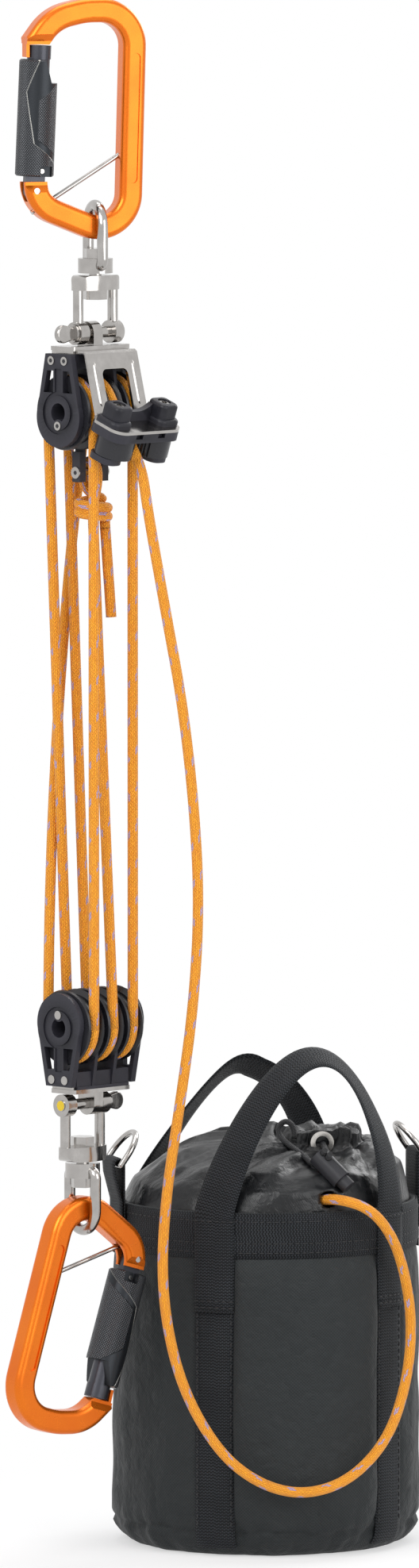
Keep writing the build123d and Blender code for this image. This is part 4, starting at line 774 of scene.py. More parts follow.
@dataclass
class TackleRope:
    """One rope: turns over the sheaves, six falls, becket knot, tail and stored coil."""

    wardrobe: Wardrobe
    diameter: float = 0.005
    pitch_radius: float = 0.0155
    sheave_spacing: float = 0.013
    tail_blend: tuple[float, float] = (-0.21, -0.565)   # heights between which the tail gives way
    fall_lap: float = 0.0003        # how far a fall's ends reach into the turns
    fall_shift_cm: float = 3.7      # from one fall's braid to the next
    crossing_bow: float = 0.013
    knot_foot: Point = (0.002, 0.0, -0.05345)
    turn_steps: int = 12
    turn_shift_cm: float = 2.3
    cleat_angle_deg: float = 32.0
    cleat_exit: Point = (0.03202, 0.0, -0.0220)     # just inside the tail's first run
    coil_outer: float = 0.0605
    coil_step: float = 0.0061
    coil_turns: int = 5
    coil_layers: int = 4
    coil_floor: float = 0.0051
    coil_per_turn: int = 16     # control points
    coil_sides: int = 8

    def build(self) -> None:
        """Make every run of the rope."""
        self.tail()
        self.coil()
        self.falls()
        self.turns()
        self.knot()

    def tube(self, name: str, points: Line, sides: int = 20, start_cm: float = 0.0) -> Piece:
        """One run of the rope along points."""
        return rope_tube(name, points, self.diameter / 2, self.wardrobe.of(Slot.ORANGE_ROPE), sides, start_cm)

    def done(self, piece: Piece, body: str = "", node: str = "") -> None:
        """Attach a piece to the body that it rides on and hide the CAD node that it stands for."""
        if body:
            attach(piece, body)
        if node:
            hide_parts(node)
        LOG.info("rope piece %s, %d faces", piece.name, len(piece.data.polygons))

    def tail(self) -> None:
        """Free run from the cleat down past the bag and over its rim."""
        points = spline_points(TAIL_ROUTE, TAIL_SAMPLES)
        piece = self.tube("rope_tail_braid", points)
        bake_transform(piece)
        self.done(piece, node="rope_tail")

    def coil_route(self) -> list[Point]:
        """Control points of the stored coil in metres, layer on layer from its outer foot to its top."""
        middle = Vector(BAG_MIDDLE)
        climb = self.coil_per_turn // 2
        flat = (2 * self.coil_turns - 1) * climb
        turn = math.tau / self.coil_per_turn
        radius, angle, lift = self.coil_outer, math.pi, self.coil_floor
        route = []
        for layer in range(self.coil_layers):
            inward = -1 if layer % 2 == 0 else 1
            last = layer == self.coil_layers - 1
            for step in range(flat if last else flat + climb):
                rising = max(0, step - flat) / climb
                lift = self.coil_floor + (layer + rising) * self.coil_step
                route.append((radius, angle, lift))
                radius += inward * self.coil_step / self.coil_per_turn if step < flat else 0.0
                angle -= turn
        route.append((radius, angle, lift))
        start = (middle.x - self.coil_outer, middle.y - self.diameter, middle.z + self.coil_floor)
        turns = [(middle.x + r * math.cos(a), middle.y + r * math.sin(a), middle.z + z) for r, a, z in route]
        return [start, *turns, TAIL_ROUTE[-1]]

    def coil(self) -> None:
        """Spare rope on the bag's floor."""
        points = spline_points(self.coil_route(), 3)
        piece = self.tube("stored_coil", points, self.coil_sides)
        self.done(piece, "bag", "stored_rope")

    def falls(self) -> None:
        """Six taut runs between the blocks, the last of them bowed out behind two others."""
        r, s = self.pitch_radius, self.sheave_spacing
        top = self.fall_lap
        foot = LOWER_AXLE[2] - UPPER_AXLE[2] - self.fall_lap
        runs = [[(-r, -s, top), (-r, 0, foot)], [(-r, 0, top), (-r, s, foot)], [(r, -s, top), (r, -s, foot)],
                [(r, s, top), (r, s, foot)], [self.knot_foot, (r, 0, foot)], [(-r, s, top), (-r, -s, foot)]]
        tubes = []
        for index, (start, end) in enumerate(runs):
            middle = Vector(start).lerp(Vector(end), 0.5)
            if index == len(runs) - 1:
                middle.x -= self.crossing_bow
            points = spline_points(moved(block_frame(UPPER_AXLE), (start, middle, end)), 12)
            tubes.append(self.tube(f"fall_{index}", points, start_cm=self.fall_shift_cm * index))
        piece = joined("rope_falls_braid", tubes)
        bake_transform(piece)
        self.done(piece, node="rope_falls")

    def turn_route(self, place: float, to_cleat: bool) -> list[Point]:
        """Control points of a turn over a sheave, in its block's frame from the back to the front.

        Args:
            place: Where the sheave sits along the axle.
            to_cleat: Whether the rope leaves the sheave early, for the cleat.

        Returns:
            The turn's points, and then those of its run to the cleat.
        """
        front = self.cleat_angle_deg if to_cleat else 0.0
        angles = [math.radians(180.0 + (front - 180.0) * k / self.turn_steps) for k in range(self.turn_steps + 1)]
        route = [(self.pitch_radius * math.cos(a), place, self.pitch_radius * math.sin(a)) for a in angles]
        if to_cleat:
            route += [tuple(Vector(route[-1]).lerp(Vector(self.cleat_exit), 0.5)), self.cleat_exit]
        return route

    def turns(self) -> None:
        """Rope over the upper and under the lower sheaves."""
        for end, axle, flipped in (("upper", UPPER_AXLE, False), ("lower", LOWER_AXLE, True)):
            tubes = []
            for index, place in enumerate((-self.sheave_spacing, 0.0, self.sheave_spacing)):
                route = self.turn_route(place, index == 1 and not flipped)
                points = spline_points(moved(block_frame(axle, flipped), route), 4)
                tubes.append(self.tube(f"turn_{index}", points, start_cm=self.turn_shift_cm * index))
            self.done(joined(f"{end}_turns_braid", tubes), f"{end}_block", f"rope_{end}_turns")

    def knot(self) -> None:
        """Noose round the becket pin with its two wraps, and the dead end below it, in the block's millimetres."""
        frame = block_frame(UPPER_AXLE) @ Matrix.Scale(MM, 4)
        core_x, wrap_radius, wrap_foot, wrap_rise, wrap_steps = 2.0, 7.3, -50.6, 8.2, 16
        wraps = [(core_x + wrap_radius * math.cos(a), wrap_radius * math.sin(a), wrap_foot + wrap_rise * k / wrap_steps)
                 for k, a in ((k, math.pi / 2 - k * math.pi / 4) for k in range(wrap_steps + 1))]
        noose = [(0, 3.0, -40.5), (-3.6, 0.6, -37), (-4.8, 0, -33), (-4.8, 0, -29), (-3.6, 0, -25.2), (0, 0, -23.6),
                 (3.6, 0, -25.2), (4.8, 0, -29), (4.8, 0, -33), (3.8, 0, -38), (2.2, 0, -43), (2, 0, -48),
                 (2, 0, -53.4)]
        drop = [(3.2, 6.8, -56), (3.9, 6.9, -64), (4.6, 7.3, -76), (5.4, 7.7, -88), (6, 8, -98.4)]
        knot_points = spline_points(moved(frame, drop[:1] + wraps + noose), 4)
        self.done(self.tube("becket_knot_braid", knot_points, start_cm=1.3), "upper_block", "becket_knot")
        points = spline_points(moved(frame, drop), 8)
        dead_end = self.tube("rope_dead_end", points)
        self.done(dead_end, "upper_block")


@dataclass
class StitchRows:
    """Rows of thread stitches laid along lines by one geometry tree."""

    material: Material
    pitch: float = 0.0034
    length: float = 0.0025
    girth: float = 0.00075      # drawn a little thick so that the thread shows
    lines: list[list[Vector]] = field(default_factory=list)

    def tree(self) -> bpy.types.NodeTree:
        """Node tree with named inputs for its sizes, which sets one stitch at every pitch along the lines."""
        tree = bpy.data.node_groups.new("stitch_rows", "GeometryNodeTree")
        for name, way, kind in (("Lines", "INPUT", "Geometry"), ("Pitch", "INPUT", "Float"),
                                ("Length", "INPUT", "Float"), ("Girth", "INPUT", "Float"),
                                ("Stitches", "OUTPUT", "Geometry")):
            tree.interface.new_socket(name, in_out=way, socket_type=f"NodeSocket{kind}")
        add = partial(add_node, tree)
        given = add("NodeGroupInput", out=None).outputs
        line = add("GeometryNodeMeshToCurve", given["Lines"])
        spots = add("GeometryNodeCurveToPoints", named={"Curve": line, "Length": given["Pitch"]}, out=None,
                    mode="LENGTH").outputs
        size = add("CombineXYZ", given["Girth"], given["Girth"], given["Length"])
        bead = add("GeometryNodeMeshUVSphere", named={"Segments": 6, "Rings": 5, "Radius": 0.5})
        stitch = add("GeometryNodeTransform", named={"Geometry": bead, "Scale": size})
        laid = add("GeometryNodeInstanceOnPoints", named={"Points": spots["Points"], "Instance": stitch,
                                                          "Rotation": spots["Rotation"]})
        real = add("GeometryNodeSetShadeSmooth", add("GeometryNodeRealizeInstances", laid))
        finished = add("GeometryNodeSetMaterial", named={"Geometry": real, "Material": self.material})
        add("NodeGroupOutput", finished, out=None)
        return tree

    def build(self, name: str) -> Piece:
        """Make all the stitches as one plain mesh."""
        verts, edges = [], []
        for line in self.lines:
            edges += [(len(verts) + k, len(verts) + k + 1) for k in range(len(line) - 1)]
            verts += [tuple(p) for p in line]
        mesh = bpy.data.meshes.new(name)
        mesh.from_pydata(verts, edges, [])
        piece = bpy.data.objects.new(name, mesh)
        bpy.context.scene.collection.objects.link(piece)
        rows = piece.modifiers.new("stitch_rows", "NODES")
        rows.node_group = self.tree()
        sizes = {"Pitch": self.pitch, "Length": self.length, "Girth": self.girth}
        for port in rows.node_group.interface.items_tree:
            if port.name in sizes:
                rows[port.identifier] = sizes[port.name]
        return settled(piece)


# Rings of the collar in metres, from inside the rim to inside its neck: radius, centre x and y and height, then how
# deep it folds, its share of the lift at the back, its share of the lip over the rope, how far the neck flares away
# from the eyelet, and its share of the uneven crest.
COLLAR_RINGS = (
    (0.0690, 0.0, 0.0, 0.158, 0.0, 0.0, 0.0, 0.0, 0.0),
    (0.0692, 0.0, 0.0, 0.1655, 0.0, 0.0, 0.0, 0.0, 0.0),
    (0.0655, 0.0015, -0.001, 0.1735, 0.0010, 0.35, 1.0, 0.0, 0.0),
    (0.0570, 0.006, -0.004, 0.1805, 0.0028, 0.8, 0.7, 0.0, 0.0),
    (0.0440, 0.011, -0.007, 0.1860, 0.0044, 1.0, -0.5, 0.0, 0.0),
    (0.0300, 0.017, -0.012, 0.1890, 0.0044, 0.85, -0.4, 0.002, 0.0),
    (0.0185, 0.022, -0.016, 0.1905, 0.0036, 0.35, 0.0, 0.0055, 0.0),
    (0.0150, 0.023, -0.017, 0.1935, 0.0034, 0.1, 0.0, 0.0060, 0.25),
    (0.0150, 0.023, -0.017, 0.1975, 0.0036, 0.0, 0.0, 0.0045, 0.7),
    (0.0148, 0.023, -0.017, 0.2005, 0.0040, 0.0, 0.0, 0.0025, 1.0),
    (0.0125, 0.023, -0.017, 0.2018, 0.0038, 0.0, 0.0, 0.001, 1.0),
    (0.0095, 0.023, -0.017, 0.2005, 0.0030, 0.0, 0.0, 0.0, 0.7),
    (0.0070, 0.023, -0.017, 0.1960, 0.0018, 0.0, 0.0, 0.0, 0.3),
    (0.0055, 0.023, -0.017, 0.1900, 0.0, 0.0, 0.0, 0.0, 0.0))

# Runs of the drawcord in millimetres, in the bag's frame at its rim.
DRAWCORD_ROUTES = (
    ((-7, -14.6, 28), (-1.9, -21.9, 27), (3.6, -31.4, 24), (7.5, -42.5, 21.7), (10.7, -53.7, 17.2),
     (11.1, -67.9, 27.4)),
    ((9.2, -66, 29.2), (8.9, -52.2, 19.4), (6, -40.5, 24.4), (2.8, -30.6, 27.7), (-0.4, -23.9, 31.5),
     (-0.8, -21.7, 36.5), (3, -23.1, 39.5), (6.4, -25.5, 36.5), (6, -26.9, 31)),
    ((12.5, -59, 22.4), (17.3, -53.3, 22.4), (17.5, -44, 24.5), (18.4, -32.8, 28.5), (20.6, -25.1, 29.5)))


@dataclass
class RopeBag:
    """Round rope bag: sagging shell, gathered collar, webbing, drawcord and stitches."""

    wardrobe: Wardrobe
    turn_deg: float = 17.0
    radius: float = 0.072
    height: float = 0.166
    wall: float = 0.002
    edge_radius: float = 0.012
    around: int = 240               # points round the shell and the collar
    panel_bulge: float = 0.0046     # of the front and back panels
    side_bulge: float = 0.0016
    panel_tuck: float = -0.016      # from a strap's edge to where the bulge starts, in radians
    side_tuck: float = 0.006
    top_fade: float = 0.012         # height over which the bulge fades under the band
    foot_fade: float = 0.016
    band_height: float = 0.022
    web_width: float = 0.020
    web_thick: float = 0.00125
    web_gap: float = 0.00005        # between the shell and the band
    strap_seat: float = 0.00072     # from the shell to the middle of a strap
    web_middle: float = 0.07398     # radius of the webs that are sewn over the band
    strap_angle_deg: float = 37.0
    handle_rise: float = 0.073
    back_rise: float = 0.059
    handle_lean: tuple[float, float] = (0.019, 0.45)    # how far the left leg leans in, and its share at the top
    back_lean: tuple[float, float] = (0.026, 0.2)
    handle_tilt_deg: float = 22.0   # how far the web lies over at the top of the handle
    back_tilt_deg: float = 34.0
    handle_steps: int = 48
    foot_height: float = 0.118      # where the handles' feet end on the straps
    tab_rise: float = 0.019
    tab_barrel: float = 0.07655
    tab_fold: float = 0.00135       # from one leg of a tab to the other, sewn down
    collar_lift: float = 0.0095     # how much higher the collar stands at the back than under the cord
    collar_lip: float = 0.0042
    collar_crest: float = 0.0045
    collar_wall: float = 0.0009
    collar_width: float = 0.44      # length of the cloth round the rim before it is gathered
    collar_fine: int = 6            # rows from one ring of the collar to the next
    cord_angle_deg: float = 10.0    # where the drawcord crosses the collar
    slit_middle: tuple[float, float] = (0.112, 0.03)
    cord_diameter: float = 0.0028
    stitch_edge: float = 0.0016     # from a strap's edge to its stitches
    stitch_face: float = 0.0013     # from the shell to a strap's stitches
    top_seam: float = 0.004         # from the rim down to its seam

    def __post_init__(self) -> None:
        """Work out the bag's own frame."""
        self.frame = Matrix.Translation(BAG_MIDDLE) @ Matrix.Rotation(math.radians(self.turn_deg), 4, "Z")
        self.strap = math.radians(self.strap_angle_deg)
        self.band_foot = self.height - self.band_height

    def build(self, rope_line: Line) -> None:
        """Make every soft piece of the bag; the collar lets the points of the rope's tail through."""
        self.shell()
        self.collar(rope_line)
        self.webbing()
        self.stitches()
        self.drawcord()

    def done(self, piece: Piece, slot: Slot, *nodes: str) -> None:
        """Let a piece ride on the bag in place of CAD nodes; the slot given is not used."""
        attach(piece, "bag")
        if nodes:
            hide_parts(*nodes)
        LOG.info("bag piece %s, %d faces", piece.name, len(piece.data.polygons))

    def spot(self, angle: float, radius: float, z: float) -> Vector:
        """Place at an angle from the bag's front, a radius and a height."""
        return self.frame @ Vector((radius * math.sin(angle), -radius * math.cos(angle), z))

    def bulge(self, angle: float, z: float) -> float:
        """How far the cloth stands out between its straps, at an angle from the front and a height."""
        turn = (angle + self.strap) % math.pi
        facing = turn < 2 * self.strap
        half = 0.5 * self.web_width / self.radius + (self.panel_tuck if facing else self.side_tuck)
        wide = 2 * self.strap if facing else math.pi - 2 * self.strap
        at = turn if facing else turn - 2 * self.strap
        share = (at - half) / (wide - 2 * half)
        if not 0 < share < 1:
            return 0.0
        edge = abs(2 * share - 1)
        corner = 0.007 + 0.014 * edge ** 6      # the base seam holds the cloth in, higher up near the straps
        rise = unit((self.band_foot - z) / self.top_fade) ** 0.5 * unit((z - corner) / self.foot_fade) ** 0.5
        most = self.panel_bulge if facing else self.side_bulge
        sag = 1.15 - 0.3 * z / self.height
        return most * (1 - edge ** 8) ** 0.5 * rise * sag

    def slack(self, angle: float, radius: float, z: float) -> float:
        """How far the shell's cloth stands off its plain form: bulge, creases and the puckers of the base seam."""
        sine, cosine = math.sin(angle), math.cos(angle)
        crease = noise.noise(Vector((sine * 2.2, -cosine * 2.2, z / 0.03)) * 1.3) * 0.0009
        crease += noise.noise(Vector((angle * 9, 3.1, z / 0.05))) * 0.0006
        wave = noise.noise(Vector((sine * 5, cosine * 5, 7.7 + z * 25)))
        tuck = noise.noise(Vector((sine * 12, cosine * 12, 1.3)))
        pucker = math.exp(-((z - 0.007) / 0.010) ** 2) * (wave * 0.0024 + tuck * 0.0011)
        pucker -= 0.0016 * math.exp(-((z - 0.0115 - 0.003 * wave) / 0.0016) ** 2)
        loose = unit((self.band_foot - z) / 0.03) * min(1.0, radius / 0.06)
        return self.bulge(angle, z) + (crease + pucker) * loose

    def shell(self) -> None:
        """Cloth cylinder that sags between its straps, with a puckered base."""
        edge_steps, side_steps, still_radius = 8, 66, 0.05
        profile = [(0.0, 0.0), (0.02, 0.0), (0.04, 0.0), (0.052, 0.0003)]
        for a in (math.pi / 2 * k / edge_steps for k in range(1, edge_steps + 1)):
            profile.append((self.radius - self.edge_radius * (1 - math.sin(a)), self.edge_radius * (1 - math.cos(a))))
        profile += [(self.radius, self.edge_radius + (self.height - self.edge_radius) * (k / side_steps) ** 1.25)
                    for k in range(1, side_steps + 1)]
        angles = [math.tau * step / self.around for step in range(self.around + 1)]
        rows, lay = [], []
        run = 0.0
        for index, (radius, z) in enumerate(profile):
            run += math.dist((radius, z), profile[index - 1]) * CM_PER_M if index else 0.0
            reaches = [radius + (self.slack(angle, radius, z) if radius > still_radius else 0.0)
                       for angle in angles[:-1]]
            rows.append([self.spot(angle, max(reach, 0.00001), z) for angle, reach in zip(angles, reaches)])
            lay.append([(angle * self.radius * CM_PER_M, run) for angle in angles])
        piece = grid_piece("bag_cloth_shell", rows, lay, self.wardrobe.of(Slot.BAG_CLOTH))
        wall = piece.modifiers.new("wall", "SOLIDIFY")
        wall.thickness, wall.offset = self.wall, -1.0
        self.done(settled(piece), Slot.BAG_CLOTH, "bag_shell")

    def collar_spot(self, angle: float, ring: Sequence[float]) -> Vector:
        """Place of the crumpled collar.

        Args:
            angle: Angle from the bag's front.
            ring: One row of the table of rings, or one between two of them.

        Returns:
            The place in metres.
        """
        radius, cx, cy, z, fold, lift, lip, flare, crest = ring
        eyelet = -math.radians(self.turn_deg)
        about = Vector((math.sin(angle), -math.cos(angle), 0.0))
        drift = noise.noise(about * 1.7 + Vector((0, 0, z * 45))) * 1.8
        pleat = abs(math.sin(angle * 4.5 + drift)) ** 0.8 - 0.55
        small = abs(math.sin(angle * 11 + drift * 2.1 + 1.0)) ** 0.8 - 0.55
        away = abs((angle - eyelet + math.pi) % math.tau - math.pi)
        flat = 1 - 0.85 * math.exp(-(away / 0.45) ** 2) * unit((0.03 - radius) / 0.01)
        spread = Vector((math.sin(angle) * radius, math.cos(angle) * radius, z))
        crumple = noise.noise(spread * 55 + Vector((5, 2, 9))) + 0.4 * noise.noise(spread * 130)
        push = (fold * (pleat + 0.35 * small) + 0.8 * fold * crumple) * flat
        push += self.collar_lip * lip * math.exp(-((angle + math.pi) % math.tau - math.pi) ** 2 / 0.12)
        push += flare * (0.5 - 0.5 * math.cos(angle - eyelet)) ** 0.8 * (1 + 0.5 * crumple)
        behind = 0.5 - 0.5 * math.cos(angle - math.radians(self.cord_angle_deg))
        raised = self.collar_lift * lift * behind ** 0.75
        raised += self.collar_crest * crest * noise.noise(about * 1.9 + Vector((2, 8, 4))) * flat
        out = 0.45 if radius > 0.02 else 1.0
        reach = radius + push * out
        return self.frame @ Vector((cx + reach * about.x, cy + reach * about.y, z + raised + push * (1.15 - out * 0.9)))

    def collar(self, rope_line: Line) -> None:
        """Gathered cloth over the mouth, crumpled, with a slit for the points of the rope's tail."""
        rings = [COLLAR_RINGS[0]]
        for low, high in zip(COLLAR_RINGS, COLLAR_RINGS[1:]):
            rings += [tuple(a + (b - a) * k / self.collar_fine for a, b in zip(low, high))
                      for k in range(1, self.collar_fine + 1)]
        rows, lay = [], []
        run = 0.0
        for index, ring in enumerate(rings):
            last = rings[max(index - 1, 0)]
            run += math.dist((ring[0], ring[3]), (last[0], last[3])) * CM_PER_M
            rows.append([self.collar_spot(math.tau * step / self.around, ring) for step in range(self.around)])
            lay.append([(step / self.around * self.collar_width * CM_PER_M, run) for step in range(self.around + 1)])
        piece = grid_piece("bag_collar_cloth", rows, lay, self.wardrobe.of(Slot.COLLAR_CLOTH))
        self.let_rope_through(piece, rope_line)
        smooth = piece.modifiers.new("soften", "SMOOTH")
        smooth.factor, smooth.iterations = 0.5, 2
        wall = piece.modifiers.new("wall", "SOLIDIFY")
        wall.thickness, wall.offset = self.collar_wall, -1.0
        settled(piece)
        self.done(piece, Slot.COLLAR_CLOTH, "bag_collar")

    def let_rope_through(self, piece: Piece, rope_line: Line) -> None:
        """Open the collar's sheet where the rope's points pass and press it back around them."""
        clear, cut_reach, look_reach, look_depth = 0.0042, 0.0034, 0.05, 0.03
        low = BAG_MIDDLE[2] + self.height - look_depth
        near = [p for p in rope_line if p.z > low and (p - Vector((*self.slit_middle, p.z))).length < look_reach]
        mesh = piece.data
        cut = [face.index for face in mesh.polygons if min((face.center - p).length for p in near) < cut_reach]
        for vert in mesh.vertices:
            closest = min(near, key=lambda p: (p - vert.co).length)
            gap = vert.co - closest
            if 1e-6 < gap.length < clear:
                vert.co = closest + gap.normalized() * clear
        work = bmesh.new()
        work.from_mesh(mesh)
        work.faces.ensure_lookup_table()
        bmesh.ops.delete(work, geom=[work.faces[index] for index in cut], context="FACES")
        work.to_mesh(mesh)
        work.free()

    def web_spot(self, angle: float, radius: float, z: float) -> RibbonSpot:
        """Strap place against the bag's side."""
        spin = self.frame.to_3x3()
        return RibbonSpot(self.spot(angle, radius, z), spin @ Vector((math.cos(angle), math.sin(angle), 0.0)),
                          spin @ Vector((math.sin(angle), -math.cos(angle), 0.0)), 0.5 / radius)

    def strap_side(self, angle: float) -> list[RibbonSpot]:
        """Strap from the base seam up to the band, in order of height."""
        low = self.radius + self.strap_seat
        spots = []
        for z in [0.004, 0.006, 0.009] + [0.012 + 0.0065 * k for k in range(20)]:
            drop = max(0.0, self.edge_radius - z)
            inward = self.edge_radius - math.sqrt(self.edge_radius ** 2 - drop ** 2)
            spots.append(self.web_spot(angle, low - inward, z))
        return spots + [self.web_spot(angle, low, self.band_foot - 0.0005)]

    def foot_spots(self, angle: float) -> list[RibbonSpot]:
        """Handle's foot, sewn over the strap and the band, in order of height."""
        rise = self.height - self.top_seam - self.foot_height
        return [self.web_spot(angle, self.web_middle, self.foot_height + rise * k / 8) for k in range(9)]

    def handle_spots(self, back: bool) -> list[RibbonSpot]:
        """Foot, front or back handle and foot as one run of webbing, from the left foot over the top to the right."""
        reach, depth = self.web_middle * math.sin(self.strap), self.web_middle * math.cos(self.strap)
        base = math.pi if back else 0.0
        frame = self.frame @ Matrix.Rotation(base, 4, "Z")
        spin = frame.to_3x3()
        rise = self.back_rise if back else self.handle_rise
        pull, kept = self.back_lean if back else self.handle_lean
        tilt = math.radians(self.back_tilt_deg if back else self.handle_tilt_deg)
        side = -1.0 if back else 1.0
        count = self.handle_steps
        middles = []
        for angle in (math.pi * index / count for index in range(count + 1)):
            up = math.sin(angle)
            shift = side * pull * up * max(0.0, kept + (1.0 - kept) * side * math.cos(angle))
            middles.append(Vector((shift - reach * math.cos(angle), -depth + 0.004 * up ** 2, self.height + rise * up)))
        arch = []
        for index, middle in enumerate(middles):
            share = index / count
            lean = math.sin(math.pi * share) ** 2
            along = (middles[min(index + 1, count)] - middles[max(index - 1, 0)]).normalized()
            turn = -self.strap - (math.pi - 2 * self.strap) * share
            tip = tilt * lean
            across = Vector((math.cos(turn) * math.cos(tip), math.sin(turn) * math.cos(tip), -math.sin(tip)))
            across = (across - along * across.dot(along)).normalized()
            arch.append(RibbonSpot(frame @ middle, spin @ across, spin @ across.cross(along),
                                   0.5 / self.web_middle * (1 - lean)))
        right = [RibbonSpot(s.middle, -s.across, -s.out, -s.bow) for s in reversed(self.foot_spots(base + self.strap))]
        return self.foot_spots(base - self.strap) + arch + right

    def tab_spots(self, angle: float) -> list[RibbonSpot]:
        """Folded tab that holds a D-ring, from its inner leg over the ring to its outer leg."""
        top = self.height + self.tab_rise
        eye = self.tab_barrel - self.web_middle
        sewn = self.web_middle + self.tab_fold
        line = [(self.web_middle, z, 0.0) for z in (0.141, 0.150, 0.160, 0.170, 0.178, top)]
        line += [(self.tab_barrel - eye * math.cos(a), top + eye * math.sin(a), a)
                 for a in (math.pi * k / 8 for k in range(1, 9))]
        line += [(radius, z, math.pi) for radius, z in (
            (self.tab_barrel + eye - 0.0004, top - 0.005), (self.tab_barrel + 0.0006, top - 0.011),
            (sewn, top - 0.018), (sewn, 0.150))]
        spots = []
        for radius, z, swing in line:
            base = self.web_spot(angle, radius, z)
            out = -base.out * math.cos(swing) + UP * math.sin(swing)
            spots.append(RibbonSpot(base.middle, base.across, out))
        return spots

    def strap_angles(self) -> list[float]:
        """Angles of the four straps from the front."""
        return [base + sign * self.strap for base in (0.0, math.pi) for sign in (-1, 1)]

    def webbing(self) -> None:
        """Rim band, ring tabs, straps and handles."""
        web = partial(ribbon, thickness=self.web_thick, material=self.wardrobe.of(Slot.WEBBING))
        band_steps = 120
        band_middle = self.radius + self.web_gap + self.web_thick / 2
        spots = [self.web_spot(math.tau * k / band_steps, band_middle, self.height - self.band_height / 2)
                 for k in range(band_steps)]
        pieces = [web("rim_band", [RibbonSpot(s.middle, UP, s.out) for s in spots], self.band_height, ring=True)]
        pieces += [web(f"tab_{side}", self.tab_spots(side * math.pi / 2), self.web_width) for side in (-1, 1)]
        pieces += [web(f"strap_{index}", self.strap_side(angle), self.web_width)
                   for index, angle in enumerate(self.strap_angles())]
        self.done(joined("bag_band_tabs_straps", pieces), Slot.WEBBING, "bag_webbing")
        for name, back in (("front_handle_web", False), ("back_handle_web", True)):
            self.done(web(name, self.handle_spots(back), self.web_width), Slot.WEBBING, "bag_handles")

    def stitches(self) -> None:
        """Thread rows on the band, the straps and the handles' feet."""
        rows = StitchRows(self.wardrobe.of(Slot.BLACK_CORD))
        band_face = self.radius + self.web_gap + self.web_thick
        foot_face = self.web_middle + self.web_thick / 2
        strap_face = self.radius + self.stitch_face
        top = self.height - self.top_seam
        strap_foot, strap_run = 0.016, 0.1005
        count = 160
        for z in (self.band_foot + 0.003, self.band_foot + 0.0075, top):
            rows.lines.append([self.spot(math.tau * k / count, band_face, z) for k in range(count + 1)])
        half = (self.web_width / 2 - self.stitch_edge) / self.radius
        for middle in self.strap_angles():
            for z in (self.foot_height + 0.0025, self.foot_height + 0.0055, top):
                rows.lines.append([self.spot(middle + half * (k / 6 - 1), foot_face, z) for k in range(13)])
            for side in (-half, half):
                rows.lines.append([self.spot(middle + side, strap_face, strap_foot + strap_run * k / 20)
                                   for k in range(21)])
        self.done(rows.build("bag_stitches"), Slot.BLACK_CORD)

    def drawcord(self) -> None:
        """Black cord from the neck through the lock and back."""
        rim = self.frame @ Matrix.Translation((0, 0, self.height)) @ Matrix.Scale(MM, 4)
        look = self.wardrobe.of(Slot.BLACK_CORD)
        for index, route in enumerate(DRAWCORD_ROUTES):
            points = spline_points(moved(rim, route), 8)
            cord = rope_tube(f"drawcord_run_{index + 1}", points, self.cord_diameter / 2, look, 14)
            self.done(cord, Slot.BLACK_CORD, "drawcord")


def prism(centre: Vector, axis: Vector, radius: float, thick: float, sides: int) -> tuple[list, list]:
    """Short closed prism standing along an axis.

    Args:
        centre: Middle of its foot.
        axis: Way it stands up.
        radius: Radius of its corners.
        thick: Height.
        sides: Number of sides.

    Returns:
        Points and faces.
    """
    up = axis.normalized()
    across = up.orthogonal().normalized()
    ring = [Matrix.Rotation(math.tau * (k + 0.5) / sides, 3, up) @ across * radius for k in range(sides)]
    verts = [centre + spot for spot in ring] + [centre + spot + up * thick for spot in ring]
    faces = [tuple(reversed(range(sides))), tuple(range(sides, 2 * sides))]
    faces += [(k, (k + 1) % sides, sides + (k + 1) % sides, sides + k) for k in range(sides)]
    return verts, faces


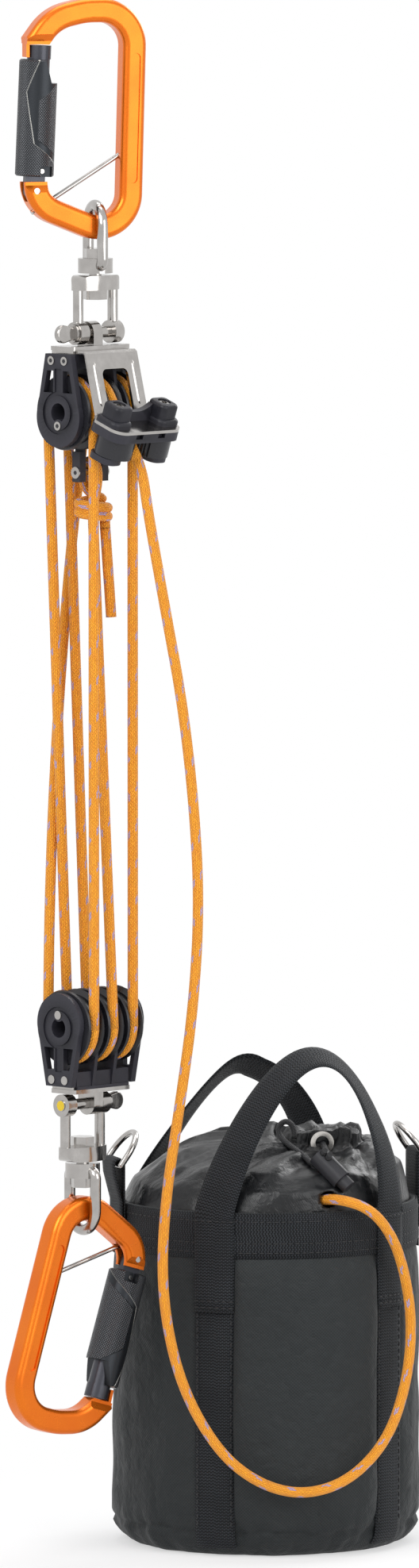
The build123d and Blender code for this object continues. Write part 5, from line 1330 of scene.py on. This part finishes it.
@dataclass
class Trim:
    """Small marks on the hardware, in millimetres: painted shade of the screw sockets, pressed ribs, lock pins and a
    paint dab.
    """

    wardrobe: Wardrobe
    frame: dict
    head_y: float = 22.1        # outer face of the cheek screws, from the block's middle
    head_spots: tuple = ((-4.4, 24.8), (4.4, 24.8), (0.0, -6.2))
    becket_head_y: float = 10.1
    becket_head_z: float = -29.0
    socket_radius: float = 1.1
    # How far the dark hexagon that paints a socket's shade stands off the screw's face.
    shade_disc_height: float = 0.06
    rib_foot: Point = (20.9, 0.0, 3.4)
    rib_top: Point = (15.4, 0.0, 24.6)
    rib_y: float = 12.75
    rib_half: float = 1.2
    rib_height: float = 0.42
    rib_sunk: float = 0.03
    rib_steps: int = 24
    pin_foot: Point = (1.9, -5.28, 9.5)     # in the gate's frame
    pin_radius: float = 1.15
    pin_height: float = 0.5
    dab_radius: float = 2.4
    dab_height: float = 0.12

    def build(self) -> None:
        """Make every mark."""
        self.place = block_frame(UPPER_AXLE) @ Matrix.Scale(MM, 4)
        self.socket_shades()
        self.ribs()
        self.lock_pins()
        self.dab()

    def marks(self, name: str, body: str, prisms: Sequence[tuple[list, list]], material: Material) -> None:
        """Join the points and faces of prisms into one flat-faced piece that rides on a body."""
        verts, faces = [], []
        for points, sides in prisms:
            faces += [tuple(len(verts) + k for k in side) for side in sides]
            verts += points
        piece = mesh_object(name, verts, faces, material)
        piece.data.polygons.foreach_set("use_smooth", [False] * len(faces))
        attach(piece, body)
        LOG.info("trim piece %s, %d faces", name, len(faces))

    def socket_shades(self) -> None:
        """Painted shade of the upper block's hexagon screw sockets: thin dark hexagons on the screws' faces."""
        spin = self.place.to_3x3().normalized()
        heads = [(x, sign * self.head_y, z) for x, z in self.head_spots for sign in (-1, 1)]
        heads += [(0.0, sign * self.becket_head_y, self.becket_head_z) for sign in (-1, 1)]
        # Each socket is a thin dark hexagon standing on the screw's face, painted shade for its recess.
        shade_discs = [prism(self.place @ Vector(spot), spin @ Vector((0, math.copysign(1, spot[1]), 0)),
                          self.socket_radius * MM, self.shade_disc_height * MM, 6) for spot in heads]
        self.marks("screw_socket_shades", "upper_block", shade_discs, self.wardrobe.of(Slot.BLACK_ACETAL))

    def ribs(self) -> None:
        """Pressed rib down each leg of the bracket."""
        foot, top = Vector(self.rib_foot), Vector(self.rib_top)
        out = (top - foot).cross(Vector((0, 1, 0))).normalized()
        out = out if out.x > 0 else -out
        shares = [k / 5 - 1 for k in range(11)]
        for name, side in (("left", -1), ("right", 1)):
            rows, lay = [], []
            for share in (step / self.rib_steps for step in range(self.rib_steps + 1)):
                swell = (1 - abs(2 * share - 1) ** 9) ** 0.7
                line = foot + (top - foot) * share + Vector((0, side * self.rib_y, 0)) - out * self.rib_sunk
                rows.append([self.place @ (line + Vector((0, self.rib_half * swell * a, 0))
                                           + out * (self.rib_height * swell * (1 - a * a) ** 1.5)) for a in shares])
                lay.append([(k / 10, share) for k in range(11)])
            piece = grid_piece(f"bracket_rib_{name}", rows, lay, self.wardrobe.of(Slot.STAINLESS), closed=False)
            middle = piece.data.polygons[len(piece.data.polygons) // 2]
            if middle.normal.dot(self.place.to_3x3() @ out) < 0:
                piece.data.flip_normals()
            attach(piece, "upper_block")
            LOG.info("trim piece %s, %d faces", piece.name, len(piece.data.polygons))

    def lock_pins(self) -> None:
        """Bright pin end in the slot of each sleeve's foot."""
        for name, spot in gate_frames(self.frame).items():
            front = spot.to_3x3() @ Vector((0, -1, 0))
            pin = prism(spot @ (Vector(self.pin_foot) * MM), front, self.pin_radius * MM, self.pin_height * MM, 20)
            self.marks(f"{name}_lock_pin", f"{name}_lock", [pin], self.wardrobe.of(Slot.STAINLESS))

    def dab(self) -> None:
        """Yellow paint that seals the bare end of the lower shackle pin."""
        joint = next(j for j in self.frame["joints"] if j["name"] == "lower_shackle_pivot")
        axis, middle = Vector(joint["axis"]).normalized(), Vector(joint["pos_m"])
        reach = [(v.co - middle).dot(axis) for v in self.frame["nodes"]["lower_shackle_pin"].data.vertices]
        way = -axis if -min(reach) < max(reach) else axis
        end = min(-min(reach), max(reach))
        spot = prism(middle + way * end, way, self.dab_radius * MM, self.dab_height * MM, 24)
        self.marks("pin_paint", "lower_swivel_jaw", [spot], PIN_PAINT.build())


def main() -> None:
    """Build the stage, dress the CAD frame and add the pieces that replace its soft solids."""
    logging.basicConfig(level=logging.INFO, format="%(name)s: %(message)s")
    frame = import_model()
    wardrobe = Wardrobe()
    wardrobe.dress_frame(frame)
    Studio().build()
    TackleRope(wardrobe).build()
    RopeBag(wardrobe).build(spline_points(TAIL_ROUTE, TAIL_SAMPLES))
    Trim(wardrobe, frame).build()


if __name__ == "__main__":
    main()
